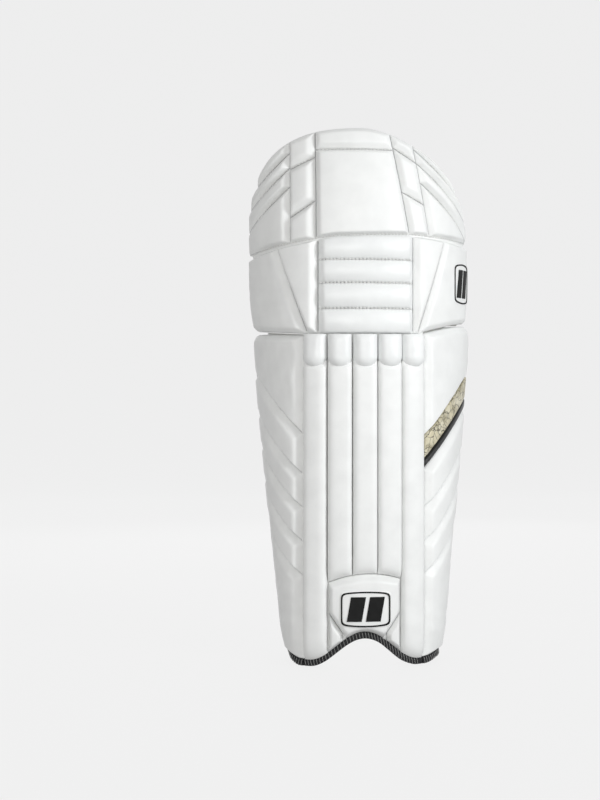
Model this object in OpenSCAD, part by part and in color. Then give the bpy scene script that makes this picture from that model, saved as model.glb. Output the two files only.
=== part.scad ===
// Cricket batting leg pad, standing on its bottom edge.
// +X is to the right of someone facing the pad's front, the front faces -Y and +Z is up.
// Every soft panel is a slab on one common curved surface. A place on that surface is given by u, the
// distance round the pad from its middle line, by z, the height, and by d, the distance out of it.

/* [Body] */
// Radius of the curved front block
front_r = 160; // [150:5:180]
// Distance round the front from the middle line to a wing's hinge line
hinge_u = 80; // [78:0.5:82]
// Height of the peak of the thigh section
peak_z = 700; // [680:5:720]
// Height of the seam between the shin and the knee
knee_z = 431; // [428:1:434]
// Height of the seam between the knee and the thigh
thigh_z = 556; // [552:1:560]
// Height of the arch over the instep
arch_h = 37; // [25:1:40]
// Half the width of that arch
arch_half = 72; // [66:1:74]

/* [Wings] */
// Half width of the knee and thigh, left side
upper_left = 143; // [138:1:148]
// Half width of the knee and thigh, right side
upper_right = 149; // [144:1:154]
// Half width of the shin at the floor, left side
foot_left = 90; // [88:0.5:94]
// Half width of the shin at the floor, right side
foot_right = 101; // [98:0.5:105]
// Spread of the left side for each millimetre of height
spread_left = 0.094; // [0.08:0.002:0.1]
// Spread of the right side for each millimetre of height
spread_right = 0.118; // [0.1:0.002:0.125]
// Depth of a wing's rear edge at the floor
wing_depth_foot = 112; // [105:1:120]
// Depth of a wing's rear edge at the calf
wing_depth_calf = 152; // [145:1:155]
// Depth of the knee section's rear edge
knee_depth = 104; // [98:1:106]

/* [Padding] */
// Thickness of the inner foam boards
board_t = 10; // [8:0.5:11]
// Thickness of the outer covers on the wings
cover_t = 6; // [4:0.5:7]
// Thickness of the blocks on the knee and thigh
block_t = 9; // [6:0.5:11]
// Thickness of the rolls over the knee
roll_t = 12; // [9:0.5:14]
// Thickness of the vertical cane channels
channel_t = 14; // [12:0.5:15]
// Spacing of the cane channels
channel_pitch = 31.5; // [31:0.1:31.6]
// Radius of the cane rods
rod_r = 5; // [4:0.25:5.5]
// Depth of the two bolsters that rest on the shin
bolster_t = 20; // [14:1:24]
// Depth of the knee cushion
cushion_t = 17; // [12:1:20]

/* [Straps] */
// Width of the calf and ankle straps
strap_w = 50; // [44:1:52]
// Width of the knee strap
knee_strap_w = 34; // [28:1:36]
// Thickness of the webbing
webbing_t = 2.4; // [1.6:0.2:2.6]
// Height of the middle of the calf strap
calf_z = 312; // [305:1:320]
// Height of the middle of the ankle strap
ankle_z = 151; // [145:1:160]
// Height of the middle of the knee strap
knee_strap_z = 463; // [462:1:466]

/* [Hidden] */

LEFT = -1;
RIGHT = 1;
white = [0.93, 0.93, 0.91];
cream = [0.86, 0.86, 0.82];
black = [0.06, 0.06, 0.07];
gold = [0.62, 0.53, 0.22];
grey = [0.2, 0.2, 0.2];

// Distances out of the surface, one layer on the next
layer_gap = 0.6;
face_d = layer_gap / 2;
board_d = -layer_gap / 2;
lining_t = 1.8;
lining_d = board_d - board_t - layer_gap;
pad_d = lining_d - lining_t - 1.2;
seam = 0.6;                // half of the gap between two neighbouring panels
bevel = 9;                 // width of the bevel round a block
foot_h = 9;                // height of the binding along the bottom
hinge_gap = 1.6;           // clearance from the hinge line to the wing
rear_lip = 8;              // width of the lip down a wing's rear edge
lip_gap = 1.4;             // clearance from the lip to the panels
bind_top = 118;            // top of the black binding on the rear edges

// The common surface
turn0 = hinge_u / front_r * 180 / PI;
x0 = front_r * sin(turn0);
y0 = front_r * (1 - cos(turn0));
knee_forward = 6;          // how far the knee stands in front of the shin
thigh_lean = 0.001;        // how fast the thigh curves back, per millimetre
tuck_z = 40;               // below this height the wings tuck in
tuck = 4;

SHIN = 0;
UPPER = 1;
function shin_half(z, side) =
    (side < 0 ? foot_left + spread_left * z : foot_right + spread_right * z)
    + tuck - tuck * pow(max(0, tuck_z - z) / tuck_z, 2);
function half_width(part, z, side) =
    part == SHIN ? shin_half(z, side) : side < 0 ? upper_left : upper_right;
function wing_r(part, z, side) = (half_width(part, z, side) - x0) / (1 - sin(turn0));
function lean(part, z) =
    part == SHIN ? 0 : -knee_forward + thigh_lean * pow(max(0, z - thigh_z + 4), 2);
function turn(part, u, z) =
    abs(u) < hinge_u ? abs(u) / front_r * 180 / PI
    : min(90, turn0 + (abs(u) - hinge_u) / wing_r(part, z, u) * 180 / PI);
function pad_point(part, u, z, d) =
    let (a = abs(u), f = turn(part, u, z), r = wing_r(part, z, u),
         straight = max(0, a - hinge_u - r * (90 - turn0) * PI / 180),
         x = a < hinge_u ? front_r * sin(f) : x0 + r * (sin(f) - sin(turn0)),
         y = a < hinge_u ? front_r * (1 - cos(f)) : y0 + r * (cos(turn0) - cos(f)) + straight)
    [sign(u) * (x + d * sin(f)), y + lean(part, z) - d * cos(f), z];
// Distance round the pad at which the surface reaches a depth
function u_at_depth(part, z, side, depth) =
    let (r = wing_r(part, z, side), full = y0 + r * cos(turn0))
    depth < full ? hinge_u + r * (acos(cos(turn0) - (depth - y0) / r) - turn0) * PI / 180
    : hinge_u + r * (90 - turn0) * PI / 180 + depth - full;

// Edges and seams
corner_z = 300;            // above this height a wing's rear edge comes forward again
wing_rise = wing_depth_calf - wing_depth_foot;
function wing_depth(z) =
    z < corner_z ? wing_depth_foot + wing_rise * sin(90 * z / corner_z)
    : wing_depth_calf - 30 * pow((z - corner_z) / 125, 3);
function wing_end(z, side) = u_at_depth(SHIN, z, side, wing_depth(z));
knee_end_left = u_at_depth(UPPER, 0, LEFT, knee_depth);
knee_end_right = u_at_depth(UPPER, 0, RIGHT, knee_depth);
function arch(u) = abs(u) < arch_half ? arch_h * pow(cos(90 * u / arch_half), 2) : 0;
// The seams tilt a little from side to side, and their gap opens towards the rear edges
function depth_of(part, u, z) = pad_point(part, u, z, 0)[1];
function knee_bottom(u) =
    u < -hinge_u ? knee_z + 0.05 * (-u - hinge_u)
    : u > hinge_u - 5 ? knee_z + 1 + 16 * (1 - pow((197 - min(u, 197)) / 122, 2)) : knee_z;
function shin_top(u) =
    knee_bottom(u) - (u < 0 ? 4 : 2.5) - (u < 0 ? 0.085 : 0.075) * depth_of(SHIN, u, knee_z);
function thigh_seam(u) =
    u < -40 ? thigh_z + 0.145 * (u + 40) : u > 60 ? thigh_z + 3 - 0.045 * (u - 60)
    : thigh_z + 0.03 * (u + 40);
function thigh_gap(u) = 1 + 0.026 * max(0, depth_of(UPPER, u, thigh_z));
function knee_top(u) = thigh_seam(u) - thigh_gap(u);
function thigh_bottom(u) = thigh_seam(u) + thigh_gap(u);
// The thigh's outline: half of a rounded oval on each side
thigh_left = 184;
thigh_right = 190;
function oval(a, half, base, power) =
    base + (peak_z - base) * pow(max(0, 1 - pow(min(1, a / half), power)), 1 / power);
function outline(u) = u < 0 ? oval(-u, thigh_left, 546, 2.2) : oval(u, thigh_right, 562, 1.5);

function constant(v) = function (x) v;
function slope(a, b) = function (t) a + (b - a) * t;
// Share of the way along a side for grid line i of n, with a bevel at both ends
function share(i, n, b) =
    i == 0 ? 0 : i == n ? 1 : n == 2 ? 0.5 : b + (1 - 2 * b) * (i - 1) / (n - 2);

// A slab on the pad's surface. left and right give u from the share of the height, bottom and top give z
// from u. It lies from in_d to out_d, and its outer edges are beveled down to edge_d.
module slab(part, left, right, bottom, top, in_d, out_d, nu, nz, edge_d = undef, bev = bevel) {
    rim_d = is_undef(edge_d) ? out_d : edge_d;
    outward = out_d > in_d;
    wide = abs(right(0.5) - left(0.5));
    tall = abs(top(right(0.5) / 2 + left(0.5) / 2) - bottom(right(0.5) / 2 + left(0.5) / 2));
    bu = is_undef(edge_d) ? 1 / nu : min(0.4, bev / wide);
    bz = is_undef(edge_d) ? 1 / nz : min(0.4, bev / tall);
    row = nu + 1;
    last = row * (nz + 1);
    function spot(i, j, d) =
        let (t = share(j, nz, bz), s = share(i, nu, bu),
             u = left(t) * (1 - s) + right(t) * s,
             z = bottom(u) * (1 - t) + top(u) * t)
        pad_point(part, u, z, d);
    function rim(i, j) = i == 0 || i == nu || j == 0 || j == nz;
    outer = [for (j = [0:nz], i = [0:nu]) spot(i, j, rim(i, j) ? rim_d : out_d)];
    inner = [for (j = [0:nz], i = [0:nu]) spot(i, j, in_d)];
    function cell(a, b, c, e) = [[a, b, c], [a, c, e]];
    faces = [
        for (j = [0:nz - 1], i = [0:nu - 1])
            let (a = j * row + i)
            each concat(cell(a, a + row, a + row + 1, a + 1),
                        cell(last + a, last + a + 1, last + a + row + 1, last + a + row)),
        for (i = [0:nu - 1])
            let (b = i, t = nz * row + i)
            each concat(cell(b, b + 1, last + b + 1, last + b),
                        cell(t, last + t, last + t + 1, t + 1)),
        for (j = [0:nz - 1])
            let (l = j * row, r = j * row + nu)
            each concat(cell(l, last + l, last + l + row, l + row),
                        cell(r, r + row, last + r + row, last + r))
    ];
    polyhedron(concat(outer, inner), outward ? faces : [for (f = faces) [f[0], f[2], f[1]]]);
}

// A beveled block with straight sides
module block(u_left, u_right, bottom, top, t = block_t, nu = 5, nz = 4, part = UPPER) {
    slab(part, u_left, u_right, bottom, top, face_d, t, nu, nz, t * 0.35);
}

// ---- Thigh section ----
column_left = -100;
column_inner = -63.5;
bar_z = 670;
function center_right(z) = 58 - 0.19 * (z - 565);
function column_right(z) = 90 - 0.2 * (z - 559);
function left_seam_low(u) = 602 + 0.57 * (u + 65);
function left_seam_high(u) = 660 + 0.39 * (u + 64);
function right_seam_low(u) = 614 - 0.45 * (u - 50);
function right_seam_high(u) = 671 - 0.56 * (u - 41);
rim_in = 2.5;              // covers stop this far inside the outline
board_in = 2.6;            // and so do the board and the lining
function raised(f, by) = function (u) f(u) + by;
function under_outline(f, by) = function (u) min(f(u) + by, outline(u) - rim_in);
cover_top = function (u) outline(u) - rim_in;

module thigh_board()
    color(cream)
    slab(UPPER, constant(board_in - thigh_left), constant(thigh_right - board_in),
         function (u) thigh_bottom(u), raised(function (u) outline(u), -board_in),
         board_d - board_t, board_d, 26, 8);

module thigh_center_panel()
    color(white)
    block(constant(column_inner + seam), slope(center_right(559) - seam, center_right(669) - seam),
          function (u) thigh_bottom(u), constant(bar_z - seam), block_t, 9, 7);

module thigh_top_bar()
    color(white)
    block(constant(column_inner + seam), slope(center_right(671) - seam, center_right(698) - seam),
          constant(bar_z + seam), cover_top, block_t, 7, 3);

module thigh_left_column()
    color(white) {
        left = constant(column_left + seam);
        right = constant(column_inner - seam);
        block(left, right, function (u) thigh_bottom(u), raised(function (u) left_seam_low(u), -seam));
        block(left, right, raised(function (u) left_seam_low(u), seam),
              raised(function (u) left_seam_high(u), -seam));
        block(left, right, raised(function (u) left_seam_high(u), seam), cover_top);
    }

module thigh_right_column()
    color(white) {
        inner = function (z) center_right(z) + seam;
        outer = function (z) column_right(z) - seam;
        block(slope(inner(560), inner(610)), slope(outer(560), outer(600)),
              function (u) thigh_bottom(u), raised(function (u) right_seam_low(u), -seam));
        block(slope(inner(614), inner(668)), slope(outer(602), outer(650)),
              raised(function (u) right_seam_low(u), seam),
              raised(function (u) right_seam_high(u), -seam));
        block(slope(inner(674), inner(697)), slope(outer(655), outer(686)),
              raised(function (u) right_seam_high(u), seam), cover_top);
    }

// Rib lines run down and out from the columns, as heights at the columns' outer seams
left_ribs = [664, 644, 619];
right_ribs = [667, 651, 629];
rib_fall = 0.68;
function left_rib(k) = function (u) left_ribs[k] - rib_fall * (-u - 106);
function right_rib(k) = function (u) right_ribs[k] - rib_fall * (u - 76);
// One rib lies between line k and the line above it, or the outline
module side_rib(near, far, line, k) {
    low = k < 3 ? function (u) max(line(k)(u) + seam, thigh_bottom(u)) : function (u) thigh_bottom(u);
    high = k > 0 ? under_outline(line(k - 1), -seam) : cover_top;
    block(near, far, low, high, block_t - 1, 9, 5);
}
module thigh_side_ribs()
    color(white) {
        ends_left = [-156, -172, -179, -182.5];
        for (k = [0:3])
            side_rib(constant(ends_left[k]), constant(column_left - seam), function (j) left_rib(j), k);
        ends_right = [148, 175, 186, 170];
        starts = [[68, 65], [73, 69], [79, 74], [91, 80]];
        for (k = [0:3])
            side_rib(slope(starts[k][0], starts[k][1]), constant(ends_right[k]),
                     function (j) right_rib(j), k);
    }

module thigh_lining()
    color(white)
    slab(UPPER, constant(board_in - thigh_left), constant(thigh_right - board_in),
         function (u) thigh_bottom(u), raised(function (u) outline(u), -board_in),
         lining_d, lining_d - lining_t, 26, 8);

// The gold panel fills the lower part of the lining on the left, under a bent edge
gold_bend = -66;           // u of the bend in that edge
gold_bend_z = 613;         // and its height
function gold_edge(u) = gold_bend_z + (u < gold_bend ? 1.34 : 0.47) * (gold_bend - u);
module thigh_gold_panel()
    color(gold)
    slab(UPPER, constant(4 - thigh_left), constant(34), raised(function (u) thigh_bottom(u), 3),
         function (u) min(gold_edge(u), outline(u) - 4), pad_d + 0.2, pad_d - 0.8, 18, 4);

module thigh_badge()
    color(white)
    slab(UPPER, constant(-40), constant(78), constant(630), constant(682),
         pad_d + 0.2, pad_d - 1, 8, 4);

// Piping round the top edge: a square cord that follows the outline
piping_t = 3;
piping_in = 0.3;           // it reaches this far inside the outline
module thigh_piping() {
    steps = 56;
    function on_oval(q) =
        let (side = q < 0 ? -1 : 1, half = q < 0 ? thigh_left : thigh_right,
             base = q < 0 ? 546 : 562, power = q < 0 ? 2.2 : 1.5, a = abs(q) * 90)
        [side * half * pow(sin(a), 2 / power), base + (peak_z - base) * pow(cos(a), 2 / power)];
    function out_of_oval(q) =
        let (p = on_oval(q - 0.004), n = on_oval(q + 0.004), along = (n - p) / norm(n - p))
        [-along[1], along[0]];
    ends = 0.985;
    rings = [
        for (i = [0:steps])
            let (q = -ends + 2 * ends * i / steps, p = on_oval(q), n = out_of_oval(q),
                 low = p - n * piping_in, high = p + n * (piping_t - piping_in))
            each [pad_point(UPPER, low[0], low[1], -9), pad_point(UPPER, high[0], high[1], -9),
                  pad_point(UPPER, high[0], high[1], -3), pad_point(UPPER, low[0], low[1], -3)]
    ];
    sides = [
        for (i = [0:steps - 1], k = [0:3])
            let (a = i * 4 + k, b = i * 4 + (k + 1) % 4)
            each [[a, b, b + 4], [a, b + 4, a + 4]]
    ];
    last = steps * 4;
    color(black) polyhedron(rings, concat(sides, [[3, 2, 1, 0]], [[last, last + 1, last + 2, last + 3]]));
}

// ---- Knee section ----
roll_left = -61;
roll_right = 64;
roll_seams = [463, 496, 526];
function v_left(z) = -71 - 0.356 * (z - knee_z);
function v_right(z) = 71 + 0.372 * (z - knee_z);

module knee_board()
    color(cream)
    slab(UPPER, constant(-knee_end_left + 1), constant(knee_end_right - 1), function (u) knee_bottom(u),
         function (u) knee_top(u), board_d - board_t, board_d, 26, 3);

module knee_roll(bottom, top, t = roll_t)
    slab(UPPER, constant(roll_left + seam), constant(roll_right - seam), bottom, top,
         face_d, t, 9, 4, t * 0.4, 8);
module knee_roll_upper() color(white) knee_roll(constant(roll_seams[2] + seam), function (u) knee_top(u));
module knee_roll_middle()
    color(white) knee_roll(constant(roll_seams[1] + seam), constant(roll_seams[2] - seam));
module knee_roll_lower()
    color(white) knee_roll(constant(roll_seams[0] + seam), constant(roll_seams[1] - seam));
module knee_band() color(white) knee_roll(constant(knee_z), constant(roll_seams[0] - seam), roll_t - 1);

module knee_flanks()
    color(white) {
        block(slope(v_left(432) + 2 * seam, v_left(545) + 2 * seam), constant(roll_left - seam),
              function (u) knee_bottom(u), function (u) knee_top(u));
        block(constant(roll_right + seam), slope(v_right(434) - seam, v_right(556) - seam),
              function (u) knee_bottom(u), function (u) knee_top(u));
    }
module knee_wing_left()
    color(white)
    slab(UPPER, constant(-knee_end_left + 1), slope(v_left(432) - seam, v_left(545) - seam),
         function (u) knee_bottom(u), function (u) knee_top(u), face_d, cover_t + 1, 12, 4, 3);
module knee_wing_right()
    color(white)
    slab(UPPER, slope(v_right(436) + seam, v_right(556) + seam), constant(knee_end_right - 1),
         function (u) knee_bottom(u), function (u) knee_top(u), face_d, cover_t + 1, 12, 4, 3);

module knee_side_badge()
    color(white)
    slab(UPPER, constant(131), constant(knee_end_right - 10), constant(483), constant(529),
         cover_t + 1.4, cover_t + 2.8, 8, 2);

module knee_cushion()
    color(white)
    slab(UPPER, constant(-150), constant(150), constant(knee_z + 17),
         function (u) knee_top(u) - 1, lining_d, lining_d - cushion_t, 20, 4, lining_d - 4, 16);

// ---- Shin section ----
floor_cut = 20;
// The space under the arch, as a bar that runs from front to back
module under_arch(clear) {
    steps = 24;
    points = [for (i = [0:steps])
        let (u = -hinge_u - 4 + (2 * hinge_u + 8) * i / steps) [front_r * sin(u / front_r * 180 / PI),
                                                               arch(u) + clear]];
    rotate([90, 0, 0])
        linear_extrude(6 * front_r, center = true)
        polygon(concat([[-front_r, -floor_cut]], [[-front_r, clear]], points, [[front_r, clear]],
                       [[front_r, -floor_cut]]));
}

module shin_board() {
    half = turn0 - 0.6;
    color(cream)
    difference() {
        translate([0, front_r, 0]) rotate([0, 0, -90 - half])
            rotate_extrude(angle = 2 * half, $fn = 120)
            translate([front_r + board_d - board_t, 0]) square([board_t, knee_z - 6]);
        under_arch(foot_h + 1);
    }
}

// Cane channels: a padded rib with a bore for its rod, open at the top under the cap
channel_top = 386;
channel_half = channel_pitch / 2 - 0.6;
rod_d = 7;
bore_r = rod_r + 0.1;
end_wall = 8;
function instep_top(u) = 121 - 0.0042 * pow(u - 5, 2);
module channel_profile() {
    steps = 22;
    rib = [for (i = [0:steps])
        let (a = 180 * i / steps, s = -cos(a))
        [channel_half * sign(s) * pow(abs(s), 0.55),
         -front_r - 3 - (channel_t - 3) * pow(sin(a), 0.42)]];
    polygon(concat([[-channel_half, -front_r - face_d - 0.8]], rib,
                   [[channel_half, -front_r - face_d - 0.8]]));
}
function channel_u(k) = (k - 3) * channel_pitch;
function channel_foot(k) = k == 1 || k == 5 ? foot_h + 1.5 : instep_top(0) + 1;
function rod_foot(k) = channel_foot(k) + end_wall + (k == 1 || k == 5 ? 6 : 0);
module at_channel(k)
    translate([0, front_r, 0]) rotate([0, 0, channel_u(k) / front_r * 180 / PI]) children();
module cane_channel(k)
    color(white)
    difference() {
        at_channel(k)
            difference() {
                translate([0, 0, channel_foot(k)])
                    linear_extrude(channel_top - channel_foot(k)) channel_profile();
                translate([0, -front_r - rod_d, rod_foot(k)]) cylinder(r = bore_r, h = peak_z, $fn = 48);
            }
        under_arch(foot_h + 1.5);
    }

module cane_rods()
    color("burlywood")
    for (k = [1:5])
        at_channel(k)
            translate([0, -front_r - rod_d, rod_foot(k) + 0.5])
            cylinder(r = rod_r, h = channel_top - rod_foot(k) - 1, $fn = 48);

cap_r = 14.6;
cap_top = knee_z - 3;
module cane_caps()
    color(white)
    for (k = [1:5])
        difference() {
            at_channel(k)
                translate([0, -front_r - 2, channel_top + 1 + cap_r]) {
                    sphere(r = cap_r, $fn = 48);
                    cylinder(r = cap_r, h = cap_top - channel_top - 1 - cap_r, $fn = 48);
                }
            translate([0, front_r, channel_top - 10]) cylinder(r = front_r + face_d, h = 80, $fn = 120);
        }

panel_half = 46.4;
wedge_u = 24;
function wedge_line(u) = 38 + (abs(u) - wedge_u) * 1.44;
module instep_panel()
    color(white)
    slab(SHIN, constant(-panel_half), constant(panel_half),
         function (u) max(arch(u) + foot_h + 1.5, wedge_line(u) + 1),
         function (u) instep_top(u), face_d + 0.3, channel_t - 3, 16, 5, 6, 7);

module instep_wedges()
    color(white)
    for (side = [LEFT, RIGHT])
        slab(SHIN, constant(side < 0 ? -panel_half : wedge_u + 4),
             constant(side < 0 ? -wedge_u - 4 : panel_half),
             function (u) arch(u) + foot_h + 1.5, function (u) wedge_line(u) - 1,
             face_d + 0.3, channel_t - 5, 5, 4, 6, 5);

module instep_badge()
    color(white)
    slab(SHIN, constant(-31), constant(31), function (u) 54 + 0.004 * u * u,
         constant(99), channel_t - 2.6, channel_t - 1.2, 10, 2);

bolster_bottom = 124;
bolster_inner = 13.5;
bolster_foot_u = 97;       // how far round a bolster reaches at its bottom
bolster_head_u = 116;      // and at its top
module bolster(side) {
    near = constant(side * bolster_inner);
    far = slope(side * bolster_foot_u, side * bolster_head_u);
    slab(SHIN, side < 0 ? far : near, side < 0 ? near : far, constant(bolster_bottom),
         constant(knee_z - 5), pad_d, pad_d - bolster_t, 12, 7, pad_d - 4, 14);
}
module bolster_left() color(white) bolster(LEFT);
module bolster_right() color(white) bolster(RIGHT);
module shin_center_strip()
    color(cream)
    slab(SHIN, constant(1 - bolster_inner), constant(bolster_inner - 1), constant(bolster_bottom),
         constant(knee_z - 7), pad_d + 0.4, pad_d - 4, 3, 2);
module shin_lining()
    color(cream)
    slab(SHIN, constant(1 - hinge_u), constant(hinge_u - 1), function (u) arch(u) + foot_h + 1.5,
         constant(knee_z - 6), lining_d, lining_d - lining_t, 20, 3);
module instep_binding()
    color(black)
    slab(SHIN, constant(0.8 - hinge_u), constant(hinge_u - 0.8), function (u) arch(u),
         function (u) arch(u) + foot_h, lining_d - lining_t, cover_t / 2, 32, 1);

// ---- Wings ----
wing_start = hinge_u + hinge_gap;
// The edges of a wing's panels, ordered from left to right
function inner_edge(side, t) = side * wing_start;
function outer_edge(side, low, high, back = rear_lip) =
    function (t) side * (wing_end(low + (high - low) * t, side) - back);
module wing_slab(side, bottom, top, low, high, in_d, out_d, nu, nz, edge_d = undef, bev = bevel) {
    near = constant(side * wing_start);
    far = outer_edge(side, low, high);
    slab(SHIN, side < 0 ? far : near, side < 0 ? near : far, bottom, top,
         in_d, out_d, nu, nz, edge_d, bev);
}
wing_top = function (u) shin_top(u);
top_left = shin_top(-200);
top_right = shin_top(190);
function wing_top_z(side) = side < 0 ? top_left : top_right;

module wing_board(side)
    color(cream)
    wing_slab(side, constant(foot_h + 1), wing_top, foot_h, wing_top_z(side),
              board_d - board_t, board_d, 14, 8);
module wing_lining(side)
    color(white)
    wing_slab(side, constant(foot_h + 1), wing_top, foot_h, wing_top_z(side),
              lining_d, lining_d - lining_t, 14, 8);

// Fins: bands that climb from the hinge line to the rear edge
fin_rise = 80;
fin_run = 130;
function fin_line(z0) = function (u)
    z0 + fin_rise * sin(90 * min(1, max(0, abs(u) - wing_start) / fin_run));
left_fins = [118, 162, 206, 250, 302];
right_fins = [118, 160, 205, 256];
flash_low = 268;
flash_high = 298;
module fin_band(side, z0, z1, t = cover_t)
    wing_slab(side, raised(fin_line(z0), seam), raised(fin_line(z1), -seam),
              z0 + fin_rise, z1 + fin_rise, face_d, t, 10, 3, t * 0.4, 7);
module wing_left_fins()
    color(white)
    for (k = [0:3]) fin_band(LEFT, left_fins[k], left_fins[k + 1]);
module wing_right_fins()
    color(white)
    for (k = [0:2]) fin_band(RIGHT, right_fins[k], right_fins[k + 1]);
module wing_panels(side, first, last)
    color(white) {
        wing_slab(side, constant(foot_h + 1), raised(fin_line(first), -seam), foot_h, first + fin_rise,
                  face_d, cover_t, 12, 5, 3);
        wing_slab(side, raised(fin_line(last), seam), wing_top, last + fin_rise, wing_top_z(side),
                  face_d, cover_t, 12, 5, 3);
    }
module gold_flash() color(gold) fin_band(RIGHT, flash_low, flash_high, cover_t - 0.8);
module black_flash() color(black) fin_band(RIGHT, right_fins[3], flash_low, cover_t - 0.8);

// A padded roll inside the rear edge, and the lip that closes the edge
roll_w = 40;
module wing_edge_roll(side)
    color(white) {
        low = bind_top + 1;
        high = wing_top_z(side) - 8;
        inside = outer_edge(side, low, high, rear_lip + roll_w);
        outside = outer_edge(side, low, high, rear_lip);
        rear = outer_edge(side, low, high, 0);
        lip = outer_edge(side, low, high, rear_lip - lip_gap);
        slab(SHIN, side < 0 ? outside : inside, side < 0 ? inside : outside, constant(low),
             constant(high), pad_d, pad_d - 11, 5, 12, pad_d - 3, 10);
        slab(SHIN, side < 0 ? rear : lip, side < 0 ? lip : rear, constant(low),
             constant(high), pad_d, cover_t, 2, 14);
    }

// The binding: a flat foot under the wing, and a strip up the rear edge
foot_steps = 20;
function foot_point(side, i, d) =
    let (far = wing_end(foot_h / 2, side), u = wing_start + (far - wing_start) * i / foot_steps,
         p = pad_point(SHIN, side * u, foot_h / 2, d))
    [p[0], p[1]];
module wing_binding(side)
    color(black) {
        linear_extrude(foot_h)
            polygon(concat([for (i = [0:foot_steps]) foot_point(side, i, lining_d - lining_t)],
                           [for (i = [foot_steps:-1:0]) foot_point(side, i, cover_t / 2)]));
        rear = outer_edge(side, foot_h, bind_top, 0);
        lip = outer_edge(side, foot_h, bind_top, rear_lip - lip_gap);
        slab(SHIN, side < 0 ? rear : lip, side < 0 ? lip : rear, constant(foot_h + 0.4),
             constant(bind_top), pad_d, cover_t, 2, 4);
    }

module wing_left_board() wing_board(LEFT);
module wing_right_board() wing_board(RIGHT);
module wing_left_lining() wing_lining(LEFT);
module wing_right_lining() wing_lining(RIGHT);
module wing_left_edge_roll() wing_edge_roll(LEFT);
module wing_right_edge_roll() wing_edge_roll(RIGHT);
module wing_left_binding() wing_binding(LEFT);
module wing_right_binding() wing_binding(RIGHT);
module wing_left_panels() wing_panels(LEFT, left_fins[0], left_fins[4]);
module wing_right_panels() wing_panels(RIGHT, right_fins[0], flash_high);

// ---- Straps ----
// Each strap lies just behind the rear edges. Its plane tilts back where the edges slope.
strap_gap = 0.7;
patch_t = 1.4;
calf_y = wing_depth_calf + 0.8;
ankle_tilt = atan((wing_depth(ankle_z + strap_w / 2) - wing_depth(ankle_z - strap_w / 2)) / strap_w);
ankle_y = wing_depth(ankle_z) + 0.8;
knee_y = knee_depth - knee_forward + 3.4;
strap_bow = 5;
root_in = 10;              // the root stands this far inside the right edge
patch_reach = 46;          // the loop patch reaches this far in from the left edge
tab_len = 24;
function strap_root(part, z) = half_width(part, z, RIGHT) - root_in;
function strap_tip(part, z) = -half_width(part, z, LEFT) + 24;

module on_strap(y, z, tilt) translate([0, y, z]) rotate([-tilt, 0, 0]) children();
// Webbing from the root to the tab, bowed a little to the rear
module webbing(part, y, z, tilt, w) {
    root = strap_root(part, z);
    tip = strap_tip(part, z) + tab_len + 0.4;
    steps = 16;
    function run(i, off) =
        let (s = i / steps)
        [root + (tip - root) * s, patch_t + strap_gap + off + strap_bow * 4 * s * (1 - s)];
    on_strap(y, z, tilt)
        translate([0, 0, -w / 2]) linear_extrude(w)
        polygon(concat([for (i = [0:steps]) run(i, 0)], [for (i = [0:steps]) run(steps - i, webbing_t)]));
}
// The hook tab: a stiff tongue with one round corner and one slanted side
module hook_tab(part, y, z, tilt, w) {
    tip = strap_tip(part, z);
    r = w * 0.3;
    slant = tab_len * 0.45;
    corner = [for (a = [90:15:180]) [tip + r + r * cos(a), w / 2 - r + r * sin(a)]];
    on_strap(y, z, tilt)
        translate([0, patch_t + strap_gap + webbing_t, 0]) rotate([90, 0, 0]) linear_extrude(webbing_t)
        polygon(concat(corner, [[tip + slant, -w / 2], [tip + tab_len, -w / 2], [tip + tab_len, w / 2]]));
}
// A patch in two leaves: one lies on the outside of a wing, the other crosses behind its rear edge
module edge_patch(part, side, y, z, tilt, w, reach, wrap) {
    edge = half_width(part, z, side) + cover_t + 1;
    end = function (t)
        part == SHIN ? wing_end(z - w / 2 + w * t, side) : side < 0 ? knee_end_left : knee_end_right;
    near = function (t) side * (end(t) - wrap);
    far = function (t) side * end(t);
    on_strap(y, z, tilt)
        translate([side < 0 ? -edge : edge - reach, 0, -w / 2]) cube([reach, patch_t, w]);
    slab(part, side < 0 ? far : near, side < 0 ? near : far, constant(z - w / 2), constant(z + w / 2),
         cover_t + 1.6, cover_t + 3, 5, 2);
}

module loop_patches()
    color(black) {
        edge_patch(SHIN, LEFT, calf_y, calf_z, 0, strap_w, patch_reach, 36);
        edge_patch(SHIN, LEFT, ankle_y, ankle_z, ankle_tilt, strap_w, patch_reach, 36);
    }
module strap_anchors()
    color(black) {
        stub = root_in + cover_t;
        edge_patch(SHIN, RIGHT, calf_y, calf_z, 0, strap_w, stub, 50);
        edge_patch(SHIN, RIGHT, ankle_y, ankle_z, ankle_tilt, strap_w, stub, 50);
    }
module knee_strap_patches()
    color(black) {
        edge_patch(UPPER, LEFT, knee_y, knee_strap_z, 0, knee_strap_w, patch_reach - 10, 24);
        edge_patch(UPPER, RIGHT, knee_y, knee_strap_z, 0, knee_strap_w, root_in + cover_t, 24);
    }
module knee_strap() color(white) webbing(UPPER, knee_y, knee_strap_z, 0, knee_strap_w);
module knee_strap_tab() color(grey) hook_tab(UPPER, knee_y, knee_strap_z, 0, knee_strap_w);
module calf_strap() color(white) webbing(SHIN, calf_y, calf_z, 0, strap_w);
module calf_strap_tab() color(grey) hook_tab(SHIN, calf_y, calf_z, 0, strap_w);
module ankle_strap() color(white) webbing(SHIN, ankle_y, ankle_z, ankle_tilt, strap_w);
module ankle_strap_tab() color(grey) hook_tab(SHIN, ankle_y, ankle_z, ankle_tilt, strap_w);
badge_half = 37;
badge_t = 6;
module calf_strap_badge()
    color(white)
    translate([8 - badge_half, calf_y + patch_t + strap_gap + webbing_t + strap_bow + 0.4,
               calf_z - strap_w / 2 + 1])
    cube([2 * badge_half, badge_t, strap_w - 2]);

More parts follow.
